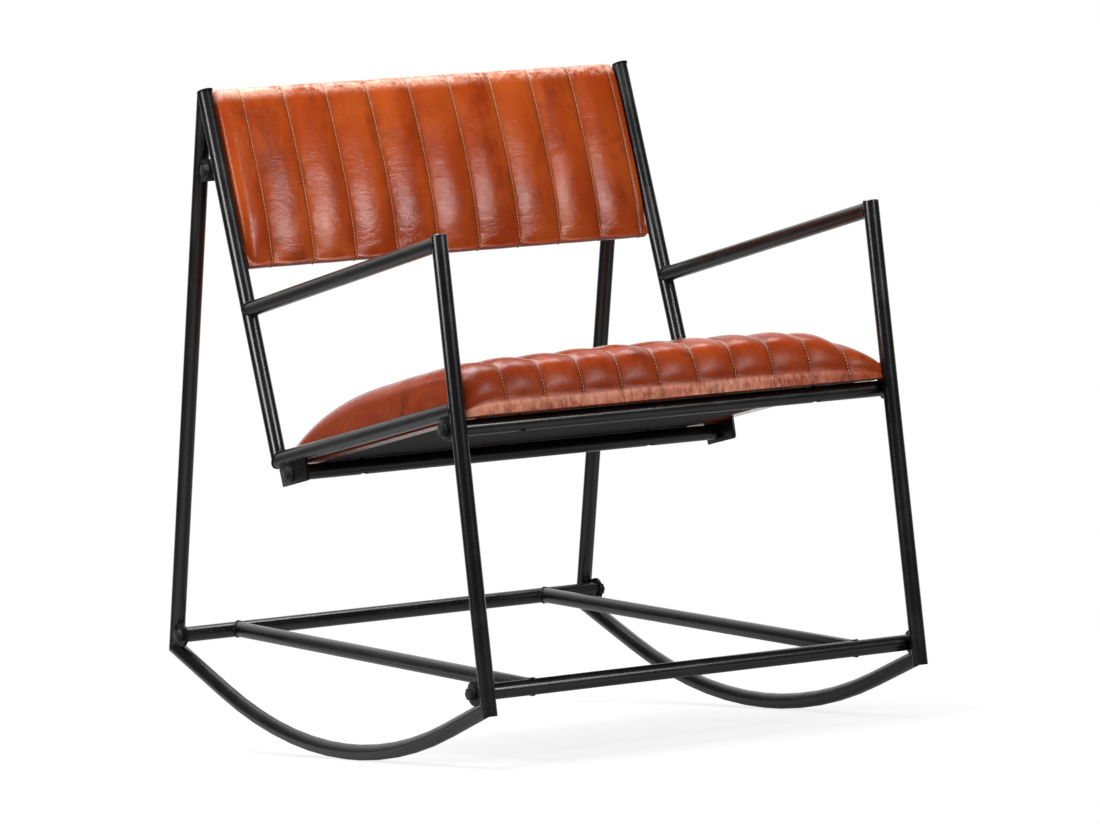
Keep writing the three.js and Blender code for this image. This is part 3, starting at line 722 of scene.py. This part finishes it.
padMake = {
    "wrap": 0.025,  # leather turned in under the board
    "skin": 0.0016,
    "lip": 0.0015,  # the bevel of the lower edges
    "boardInset": 0.0013,  # further in than this the leather lies over the board
    "grooveDepth": 0.0009,
    "grooveWidth": 0.001,
    "arcPower": 2.1,
    "rollShare": 0.62,  # of the height above the underside, which a side's roll takes at most
    "cornerWidth": 2.5,  # of the corner's roll
    "frontFrom": 0.65,  # share of the length from which a side's roll gets wider
    "frontOver": 0.3,
    "outlineSteps": 16,  # between two points of the outline
    "columnShares": [
        0, 0.014, 0.032, 0.06, 0.11, 0.19, 0.3, 0.42, 0.5, 0.58, 0.7, 0.81, 0.89, 0.94, 0.968, 0.986,
    ],
    "rollSteps": 12,
    "rollGap": 0.001,  # least room between the last seam and a side's roll
    "hemStep": 0.0003,  # over which the underside steps up from the leather to the lining
    "columnGap": 0.0004,  # least room between the last seam and the next column
    "quiltedShare": 0.45,  # of the rise, over which the channels deepen
    "quiltedLeast": 0.12,
    "uneven": {"size": 0.06, "depth": 0.0009},  # its seed is the number of channels
    "puckers": {"size": 0.0065, "seed": 3, "depth": 0.0006, "reach": 0.009},
    "seamPaintedShades": ((0.0013, 0.6), (0.007, 0.4)),  # width and strength of the painted shade along a seam, a mark that also makes the leather rougher there
    "sharpAngle": 50,
}


def smoothLine(points, count):
    # a smooth line through the points, as count points at about even steps
    fine = []
    steps = padMake["outlineSteps"]
    for i in range(len(points) - 1):
        a, b = points[max(i - 1, 0)], points[i]
        c, d = points[i + 1], points[min(i + 2, len(points) - 1)]
        for k in range(steps):
            t = k / steps
            fine.append(0.5 * (2 * b + (c - a) * t + (2 * a - 5 * b + 4 * c - d) * t * t
                               + (3 * b - a - 3 * c + d) * t * t * t))
    fine.append(points[-1])
    run = [0.0]
    for p, q in zip(fine, fine[1:]):
        run.append(run[-1] + (q - p).length)
    line = []
    j = 0
    for k in range(count):
        goal = run[-1] * k / (count - 1)
        while j + 2 < len(run) and run[j + 1] < goal:
            j += 1
        share = (goal - run[j]) / (run[j + 1] - run[j])
        line.append(fine[j].lerp(fine[j + 1], min(share, 1)))
    return line


class PadForm:
    # where the leather of one pad lies
    def __init__(self, pad, place):
        self.pad = pad
        low, high = localBox(pad["node"] + "_cover", place)
        self.side = high.x
        self.under = low.z
        self.boardTop = localBox(pad["node"] + "_board", place)[1].z
        self.front = low.y
        self.rear = high.y
        self.length = high.y - low.y
        self.width = (self.side - pad["margin"]) * 2 / pad["channels"]
        skipped = 0 if pad["margin"] else 1  # the outermost seams would lie on the sides
        start = pad["margin"] - self.side + pad["seamShift"]
        self.seams = [start + self.width * i for i in range(skipped, pad["channels"] + 1 - skipped)]
        shares = [Vector((y * self.length, z * pad["rise"])) for y, z in pad["outlineShares"]]
        self.outline = smoothLine(shares, pad["rings"])

    def nearest(self, x):
        return min(abs(x - seam) for seam in self.seams)

    def columns(self, shares, steps):
        # places across the pad, close together at the seams and on the rounded sides
        xs = []
        for a, b in zip(self.seams, self.seams[1:]):
            xs += [a + (b - a) * share for share in shares]
        xs.append(self.seams[-1])
        edge = self.side - padMake["wrap"]
        hem = (edge, edge - padMake["hemStep"])
        for way, last in ((-1, -self.seams[0]), (1, self.seams[-1])):
            roll = min(self.pad["sides"][way][0], self.side - last - padMake["rollGap"])
            outer = [self.side - roll * (1 - math.sin(math.pi / 2 * k / steps)) for k in range(steps + 1)]
            gap = outer[0] - last
            outer += [last + gap * share for share in shares if share]
            xs += [way * x for x in outer if x > last + padMake["columnGap"]]
            xs += [way * x for x in hem]
        return sorted(set(xs))

    def fallAt(self, x, share):
        # how far, from 0 to 1, a place lies down a rounded side, and that side's drop
        width, drop, power = self.pad["sides"][1 if x > 0 else -1]
        if x < 0:
            nearFront = min(max((share - padMake["frontFrom"]) / padMake["frontOver"], 0), 1)
            width *= 1 + self.pad["widerFront"] * nearFront
        past = min(max(0.0, 1 - (self.side - abs(x)) / width), 1)
        return (1 - math.sqrt(1 - past * past) if power == 2.0 else past ** power), drop

    def drawnIn(self, x, level):
        # how deep the channels' shape draws the leather in at x, where the outline has this level
        gap = self.nearest(x)
        arc = max(0.0, 1 - gap / (self.width / 2)) ** padMake["arcPower"]
        groove = math.exp(-(gap / padMake["grooveWidth"]) ** 2) * padMake["grooveDepth"]
        weight = min(max(level / self.pad["rise"] / padMake["quiltedShare"], padMake["quiltedLeast"]), 1)
        return self.pad["channelDepth"] * arc * weight + groove

    def face(self, x):
        # the outline at x, drawn in at the seams, with its normals
        pad = self.pad
        bulge = pad["crown"] * (1 - (x / self.side) ** 2)
        cornerWidth = pad["cornerRoll"] * padMake["cornerWidth"]
        corner = min(1.0, max(0.0, 1 - (self.side - abs(x)) / cornerWidth))
        end = pad["cornerRoll"] * (1 - math.sqrt(1 - corner * corner))
        points = []
        for flat in self.outline:
            share = min(max(flat.x / self.length, 0), 1)
            fall, drop = self.fallAt(x, share)
            z = flat.y + bulge * math.sin(math.pi * share) ** pad["crownPower"]
            roll = min(drop, max(0.0, z - self.under) * padMake["rollShare"])
            y = self.rear - flat.x + end * (2 * share - 1)
            z -= roll * fall
            rim = min(self.side - abs(x), flat.x, self.length - flat.x)
            if rim > padMake["boardInset"]:
                z = max(z, self.boardTop + padMake["skin"])
            points.append(Vector((x, y, z)))
        drawn = []
        for i, point in enumerate(points):
            before = points[max(i - 1, 0)]
            after = points[min(i + 1, len(points) - 1)]
            normal = acrossChair.cross(after - before).normalized() * -1
            drawn.append((point - normal * self.drawnIn(x, self.outline[i].y), normal))
        return drawn

    def underside(self, x, front, rear):
        # the wrapped edge below, which is one skin thick round the lining
        wrap, lip = padMake["wrap"], padMake["lip"]
        low = self.under
        high = low + (padMake["skin"] if abs(x) < self.side - wrap - touching else 0)
        inner = [(front, low + lip), (front + lip, low), (front + wrap, low), (front + wrap, high),
                 (rear - wrap, high), (rear - wrap, low), (rear - lip, low), (rear, low + lip)]
        return [Vector((x, y, z)) for y, z in inner]


def uneven(x, y, z, size, seed):
    return noise.noise(Vector((x / size + seed, y / size, z / size)))


clothMake = {
    "columnShares": [0, 0.1, 0.26, 0.42, 0.58, 0.74, 0.9],
    "rollSteps": 4,
    "rowStep": 2,
    "folds": {"size": 0.012, "seed": 5, "depth": 0.0006},
    "heldShare": 0.08,  # of the rise, up to which the leather is held
    "pressure": 4.0,
    "slack": 0.03,  # share by which the cloth is larger than its shape
    "bending": 0.2,
    "quality": 6,
    "frames": 20,
}


def clothSettings(cloth):
    modifier = cloth.modifiers.new("cloth", "CLOTH")
    settings = modifier.settings
    settings.vertex_group_mass = "held"
    settings.use_pressure = True
    settings.uniform_pressure_force = clothMake["pressure"]
    settings.effector_weights.gravity = 0
    settings.shrink_min = -clothMake["slack"]
    settings.bending_stiffness = clothMake["bending"]
    settings.quality = clothMake["quality"]
    modifier.point_cache.frame_end = clothMake["frames"]


def swollen(form):
    # blows the quilted leather up as cloth that is sewn down at the seams, and gives back how far
    # each place of a coarse grid has moved
    columns = form.columns(clothMake["columnShares"], clothMake["rollSteps"])
    rows = list(range(0, len(form.outline), clothMake["rowStep"]))
    folds = clothMake["folds"]
    points = []
    held = []
    for x in columns:
        drawn = form.face(x)
        sewn = form.nearest(x) < touching
        for i in rows:
            place, normal = drawn[i]
            fold = uneven(x, place.y, 0, folds["size"], folds["seed"])
            points.append(place + normal * fold * folds["depth"])
            if sewn or form.outline[i].y < form.pad["rise"] * clothMake["heldShare"]:
                held.append(len(points) - 1)
        for point in form.underside(x, drawn[-1][0].y, drawn[0][0].y):
            held.append(len(points))
            points.append(point)
    ring = len(points) // len(columns)
    held += list(range(ring)) + list(range(len(points) - ring, len(points)))
    cloth = meshObject("cloth", points, ringFaces(0, len(columns), ring))
    outward(cloth.data)
    cloth.vertex_groups.new(name="held").add(sorted(set(held)), 1.0, "REPLACE")
    clothSettings(cloth)
    for step in range(1, clothMake["frames"] + 1):
        scene.frame_set(step)
    result = cloth.evaluated_get(bpy.context.evaluated_depsgraph_get()).data
    moves = []
    cap = form.pad["swell"]
    for start, vertex in zip(points, result.vertices):
        move = vertex.co - start
        if move.length > cap:
            move *= cap / move.length
        moves.append(move)
    scene.frame_set(1)
    bpy.data.objects.remove(cloth)
    print("swelled", form.pad["name"], "by", round(sum(m.length for m in moves) / len(moves) * 1000, 2), "mm")
    return columns, ring, moves


def movedBy(swell, form, columns):
    # the coarse grid's moves for every row of every column of the fine one
    coarse, ring, moves = swell
    step = clothMake["rowStep"]
    lastRow = (len(form.outline) - 1) // step
    j = 0
    for x in columns:
        while j + 2 < len(coarse) and coarse[j + 1] < x:
            j += 1
        across = min(max((x - coarse[j]) / (coarse[j + 1] - coarse[j]), 0), 1)
        line = []
        for i in range(len(form.outline)):
            k = min(i // step, lastRow)
            n = min(k + 1, lastRow)
            along = min((i - k * step) / step, 1)
            a = moves[j * ring + k].lerp(moves[j * ring + n], along)
            b = moves[(j + 1) * ring + k].lerp(moves[(j + 1) * ring + n], along)
            line.append(a.lerp(b, across))
        yield line


# Levels and their fades are shares of the rise.

# where the leather is worn dull, and where it is painted pale for wear and as a painted highlight
leatherWearAndHighlight = {
    "mattLevel": 0.72,
    "mattFade": 0.07,
    "frontLevel": 0.055,
    "frontFade": 0.004,
    "frontLeast": 0.2,
    "frontMore": 0.7,
    "frontEnd": 0.19,  # there is less of it further to the sitter's left
    "frontEndFade": 0.03,
    "topReach": 0.0125,
}


def below(value, level, fade):
    # from 1 well below a level to 0 well above it
    return 1 / (1 + math.exp((value - level) / fade))


def mattAt(pad, height, share):
    # where the leather is worn dull: down the seat's front
    atFront = pad["node"] == "seat" and share > 0.5
    return below(height, leatherWearAndHighlight["mattLevel"], leatherWearAndHighlight["mattFade"]) if atFront else 0


def wornAndHighlightBandAt(pad, x, height, share, along):
    # where the leather is painted pale, partly for wear and partly as a painted highlight: over the seat's
    # front edge and the back's top edge
    wearAndHighlight = leatherWearAndHighlight
    if pad["node"] == "back":
        return math.exp(-(along / wearAndHighlight["topReach"]) ** 4) if share < 0.5 else 0
    edge = below(height, wearAndHighlight["frontLevel"], wearAndHighlight["frontFade"]) if share > 0.5 else 0
    more = wearAndHighlight["frontMore"] * below(x, wearAndHighlight["frontEnd"], wearAndHighlight["frontEndFade"])
    return edge * (wearAndHighlight["frontLeast"] + more)


def addPad(pad, place):
    form = PadForm(pad, place)
    columns = form.columns(padMake["columnShares"], padMake["rollSteps"])
    moved = list(movedBy(swollen(form), form, columns))
    wide, puckers = padMake["uneven"], padMake["puckers"]
    points = []
    marks = {"seam": [], "edgeWearAndHighlight": [], "matt": []}
    for x, moves in zip(columns, moved):
        gap = form.nearest(x)
        drawn = form.face(x)
        # painted shade along each seam, which also marks a rougher strip
        seam = sum(math.exp(-(gap / width) ** 2) * share for width, share in padMake["seamPaintedShades"])
        for i, (point, normal) in enumerate(drawn):
            height = form.outline[i].y / pad["rise"]
            out = uneven(*point, wide["size"], pad["channels"]) * wide["depth"]
            pucker = uneven(*point, puckers["size"], puckers["seed"]) * puckers["depth"]
            out += pucker * math.exp(-gap / puckers["reach"])
            points.append(point + moves[i] + normal * out * min(max(height, 0), 1))
            marks["seam"].append(seam)
            # the pale edge band: wear together with a painted highlight
            marks["edgeWearAndHighlight"].append(wornAndHighlightBandAt(pad, x, height, i / len(drawn), form.outline[i].x))
            marks["matt"].append(mattAt(pad, height, i / len(drawn)))
        under = form.underside(x, drawn[-1][0].y, drawn[0][0].y)
        points += under
        for values in marks.values():
            values += [0] * len(under)
    faces = ringFaces(0, len(columns), len(points) // len(columns))
    piece = addPiece(pad["name"], points, faces, leathers[pad["node"]], place)
    for label, values in marks.items():
        piece.data.attributes.new(label, "FLOAT", "POINT").data.foreach_set("value", values)
    splitEdges(piece, padMake["sharpAngle"])
    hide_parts(pad["node"] + "_cover", pad["node"] + "_foam")
    return form


seatPlace = padPlace("seat_rail_left")
backPlace = padPlace("back_post_left")
seatForm = addPad(seatPad, seatPlace)
backForm = addPad(backPad, backPlace)
print("made the pads")

stitches = {
    "pitch": 0.0043,
    "length": 0.0031,
    "thick": 0.00044,
    "corners": 6,
    "out": 0.0013,
    "profile": ((-0.5, 0.35), (-0.36, 0.9), (0, 1.0), (0.36, 0.9), (0.5, 0.35)),  # along, and thickness
    "dip": 0.004,  # of the threads' ends
}


def stitchPlaces(line):
    # middle, normal and direction of every stitch down a seam
    run = 0.0
    places = []
    for (p, n), (q, m) in zip(line, line[1:]):
        step = (q - p).length
        while run < step:
            share = run / step
            places.append((p.lerp(q, share), n.lerp(m, share).normalized(), (q - p).normalized()))
            run += stitches["pitch"]
        run -= step
    return places[1:-1]


def addStitches(name, form, place):
    # short threads along every seam, with a small gap between them
    points = []
    faces = []
    for seam in form.seams:
        for middle, normal, along in stitchPlaces(form.face(seam)):
            across = along.cross(normal)
            faces += ringFaces(len(points), len(stitches["profile"]), stitches["corners"])
            for share, girth in stitches["profile"]:
                out = stitches["out"] - abs(share) ** 3 * stitches["dip"]
                centre = middle + along * stitches["length"] * share + normal * out
                points += ringAt(centre, across, normal, stitches["thick"] * girth, stitches["corners"])
    addPiece(name, points, faces, thread, place)


addStitches("seat_stitching", seatForm, seatPlace)
addStitches("back_stitching", backForm, backPlace)

liningMake = {
    "thick": 0.0008,
    "gap": 0.0006,
    "hem": 0.012,
    "hemThick": 0.0004,
    "waves": {"size": 0.05, "seed": 9, "depth": 0.0004},
    "steps": 60,
}


def addLining(name, form, place, node):
    # cloth drawn over the board's underside, with a folded hem
    wrap = padMake["wrap"]
    waves = liningMake["waves"]
    halfX = form.side - wrap - liningMake["gap"]
    lowY = form.front + wrap + liningMake["gap"]
    highY = form.rear - wrap - liningMake["gap"]
    n = liningMake["steps"]
    top = form.under + padMake["skin"]
    points = []
    for layer in range(2):
        for i in range(n + 1):
            for j in range(n + 1):
                x = -halfX + 2 * halfX * i / n
                y = lowY + (highY - lowY) * j / n
                rim = min(halfX - abs(x), y - lowY, highY - y)
                hem = liningMake["hemThick"] if rim < liningMake["hem"] else 0
                wave = uneven(x, y, 0, waves["size"], waves["seed"]) * waves["depth"]
                z = top if layer else top - liningMake["thick"] - hem + wave
                points.append(Vector((x, y, z)))
    faces = []
    layerSize = (n + 1) ** 2
    for i in range(n):
        for j in range(n):
            a = i * (n + 1) + j
            quad = (a, a + 1, a + n + 2, a + n + 1)
            faces.append(quad)
            faces.append(tuple(reversed([k + layerSize for k in quad])))
    rimLoop = (list(range(n)) + [i * (n + 1) + n for i in range(n)]
               + [n * (n + 1) + j for j in range(n, 0, -1)] + [i * (n + 1) for i in range(n, 0, -1)])
    for a, b in zip(rimLoop, rimLoop[1:] + rimLoop[:1]):
        faces.append((b, a, a + layerSize, b + layerSize))
    piece = addPiece(name, points, faces, liningCloth, place)
    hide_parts(node)


addLining("seat_underside_cloth", seatForm, seatPlace, "seat_lining")
addLining("back_rear_cloth", backForm, backPlace, "back_lining")
print("made stitches and linings")

# Weld beads

beads = {
    "radius": 0.0015,
    "mitreRadius": 0.0011,
    "plateRadius": 0.0016,
    "ripple": 0.14,
    "pitch": 0.0034,
    "lump": 0.25,
    "lumpScale": 400,  # to the metre
    "endShare": 0.35,  # of the radius, at an open end
    "endGrowth": 0.25,  # of it, from one ring to the next
    "slant": (0.3, 0.2, 0.93),  # a direction that no bead runs in
    "corners": 8,
    "steps": 72,
    "plateSteps": 26,
    "plateNear": 0.0025,  # a plate's corners this close to its tube's outline are on the weld
    "ahead": 0.06,  # how far up its branch tube the search for a coped edge starts
}


def addBead(name, path, radius, closed=True):
    # a lumpy bead along a path of points
    seed = Vector((len(name), 0, 0))
    points = []
    count = len(path)
    run = 0.0
    for i, point in enumerate(path):
        before = path[(i - 1) % count] if closed or i else path[0]
        after = path[(i + 1) % count] if closed or i + 1 < count else path[-1]
        along = (after - before).normalized()
        side = along.cross(Vector(beads["slant"])).normalized()
        if i:
            run += (point - path[i - 1]).length
        lump = 1 + beads["ripple"] * math.sin(math.tau * run / beads["pitch"])
        lump += noise.noise(point * beads["lumpScale"] + seed) * beads["lump"]
        taper = 1 if closed else min(1, beads["endShare"] + min(i, count - 1 - i) * beads["endGrowth"])
        points += ringAt(point, side, side.cross(along), radius * lump * taper, beads["corners"])
    faces = ringFaces(0, count, beads["corners"], closed)
    addPiece(name, points, faces, plateBlack)


def branchPath(branch, main):
    # where the outside of a branch tube meets a tube that it is coped on to
    spot = meeting(branch, main)
    atEnd = (branch["end"] - spot).length < (branch["start"] - spot).length
    d = branch["along"] if atEnd else -branch["along"]
    tip = branch["end"] if atEnd else branch["start"]
    e = main["along"]
    side = d.orthogonal().normalized()
    up = d.cross(side)
    path = []
    for i in range(beads["steps"]):
        turn = math.tau * i / beads["steps"]
        start = tip - d * beads["ahead"] + (side * math.cos(turn) + up * math.sin(turn)) * branch["radius"]
        gap = start - main["start"]
        flatGap = gap - e * gap.dot(e)
        flatRun = d - e * d.dot(e)
        a = flatRun.length_squared
        b = flatRun.dot(flatGap)
        c = flatGap.length_squared - main["radius"] ** 2
        path.append(start + d * (-b - math.sqrt(max(b * b - a * c, 0))) / a)
    return path


def mitrePath(one, other):
    # the oval line round two tubes of one side where they are mitred together
    corner = meeting(one, other)
    a = (nearestOn(one, (one["start"] + one["end"]) / 2) - corner).normalized()
    b = (nearestOn(other, (other["start"] + other["end"]) / 2) - corner).normalized()
    halfway = (a + b).normalized()
    slant = one["radius"] / abs(halfway.cross(a).dot(acrossChair))
    path = []
    for i in range(beads["steps"]):
        turn = math.tau * i / beads["steps"]
        path.append(corner + halfway * slant * math.cos(turn) + acrossChair * one["radius"] * math.sin(turn))
    return path


def platePath(plateName, tubeName):
    # a line along a tube where the plate's outer face meets it, as far as the plate is long
    line = lines[tubeName]
    spots = [v.co for v in nodes[plateName].data.vertices]
    level = max((s.x for s in spots), key=abs)
    corners = [s for s in spots if abs(s.x - level) < touching]
    middle = sum(corners, Vector()) / len(corners)
    out = middle - nearestOn(line, middle)
    out.x = 0
    out.normalize()
    rise = level - line["start"].x
    reach = math.sqrt(max(line["radius"] ** 2 - rise ** 2, 0))
    welded = [c for c in corners if (c - nearestOn(line, c)).dot(out) < reach + beads["plateNear"]]
    runs = [(c - line["start"]).dot(line["along"]) for c in welded]
    low, high = min(runs), max(runs)
    start = Vector((level, *(line["start"] + out * reach).yz))
    steps = beads["plateSteps"]
    return [start + line["along"] * (low + (high - low) * i / (steps - 1)) for i in range(steps)]


copedWelds = (("arm", "back_post"), ("arm", "front_leg"), ("seat_rail", "front_leg"))
plateWelds = (
    ("seat_rear_plate", "seat_rail"), ("seat_front_plate", "seat_rail"), ("back_plate", "back_post"),
    ("back_plate", "rear_leg"), ("base_front_lug", "front_leg"), ("base_rear_lug", "rear_leg"),
)
for side in sides:
    for branch, main in copedWelds:
        path = branchPath(lines[f"{branch}_{side}"], lines[f"{main}_{side}"])
        addBead(f"weld_{branch}_to_{main}_{side}", path, beads["radius"])
    for cross in ("base_front_tube", "base_rear_tube"):
        path = branchPath(lines[f"base_long_tube_{side}"], lines[cross])
        addBead(f"weld_long_tube_to_{cross}_{side}", path, beads["radius"])
for side in sides:
    path = mitrePath(lines[f"seat_rail_{side}"], lines[f"back_post_{side}"])
    addBead(f"weld_seat_corner_{side}", path, beads["mitreRadius"])
for side in sides:
    for plate, tube in plateWelds:
        path = platePath(f"{plate}_{side}", f"{tube}_{side}")
        addBead(f"weld_{plate}_to_{tube}_{side}", path, beads["plateRadius"], False)
print("made the weld beads")

# Floor, backdrop and light

studio = {
    "floorReach": 3.0,
    "floorFade": (0.75, 1.5),  # distances over which the floor turns into the white backdrop
    "floorColour": (0.9, 0.9, 0.9, 1),
    "floorGlow": 0.8,
    "floorBounce": (0.3, 0.3, 0.3, 1),
    "floorMirrored": 0.12,  # how much of the floor's white shows in gloss
    "worldLight": 0.33,
    "roomLight": 0.05,  # what glossy surfaces see of the room in front of the white backdrop
    "backdropEdge": (0.5, 0.85),  # cosines from the way that the camera looks
    "aimHeight": 0.5,  # at which all lamps are aimed
}
white = (1, 1, 1, 1)


def addFloor():
    reach = studio["floorReach"]
    points = [(-reach, -reach, 0), (reach, -reach, 0), (reach, reach, 0), (-reach, reach, 0)]
    floor = meshObject("floor", points, [(0, 1, 2, 3)])
    b = newBoard("white floor")
    distance = b.node("VectorMath", {"operation": "LENGTH"}, {0: b.where()}, "Value")
    fade = b.between(distance, *studio["floorFade"])
    camera, through, gloss = b.rays()
    seen = camera + through + gloss * studio["floorMirrored"]
    glow = b.node("Emission", {}, {"Color": white, "Strength": 1.0})
    lit = b.node("BsdfDiffuse", {}, {"Color": studio["floorColour"]})
    bounce = b.node("BsdfDiffuse", {}, {"Color": studio["floorBounce"]})
    inner = b.blended(seen, bounce, b.blended(studio["floorGlow"], lit, glow))
    outer = b.blended(seen, b.node("BsdfTransparent"), glow)
    floor.data.materials.append(b.surface(b.blended(fade, inner, outer)))


def lightWorld():
    world = bpy.data.worlds.new("studio")
    scene.world = world
    b = Board(world)
    soft, full, room = [b.node("Background", {}, {"Color": white, "Strength": strength})
                        for strength in (studio["worldLight"], 1.0, studio["roomLight"])]
    turn = math.radians(view["azimuth"])
    away = photographed().to_3x3() @ Vector((-math.sin(turn), math.cos(turn), 0))
    facing = b.node("VectorMath", {"operation": "DOT_PRODUCT"}, {
        0: b.node("TexCoord", output="Generated"), 1: tuple(away)}, "Value")
    backdrop = b.blended(b.between(facing, *studio["backdropEdge"]), room, full)
    camera, through, gloss = b.rays()
    shown = b.blended(gloss + through, soft, backdrop)
    b.node("OutputWorld", {}, {"Surface": b.blended(camera, shown, full)})


# Soft lamps about the chair as it was photographed. Azimuth 0 is in front, and size is width and height.
lamps = {
    "front": {"azimuth": 15, "distance": 2.4, "height": 1.88, "size": (1.2, 0.5), "power": 28},
    "low": {"azimuth": 15, "distance": 2.4, "height": 1.52, "size": (0.34, 0.4), "power": 8},
    "left": {"azimuth": -84, "distance": 1.9, "height": 1.0, "size": (0.6, 0.8), "power": 18},
    "corner": {"azimuth": -95, "distance": 0.65, "height": 2.1, "size": (0.9, 0.5), "power": 25},
    "above": {"azimuth": 180, "distance": 0.8, "height": 2.2, "size": (0.75, 1.3), "power": 30},
    "right": {"azimuth": 126, "distance": 1.1, "height": 2.3, "size": (0.7, 0.5), "power": 12},
}


def addLamps():
    for name, look in lamps.items():
        data = bpy.data.lights.new(name, "AREA")
        data.shape = "RECTANGLE"
        data.size, data.size_y = look["size"]
        data.energy = look["power"]
        lamp = newObject(name, data)
        lamp.visible_camera = False
        around = Matrix.Rotation(math.radians(look["azimuth"]), 4, "Z")
        spot = around @ Vector((0, -look["distance"], look["height"]))
        rise = math.atan2(look["height"] - studio["aimHeight"], look["distance"])
        turn = around @ Matrix.Rotation(math.pi / 2 - rise, 4, "X")
        lamp.matrix_world = photographed() @ Matrix.Translation(spot) @ turn


addFloor()
lightWorld()
addLamps()
scene.view_settings.view_transform = "Standard"
print("lit the studio")
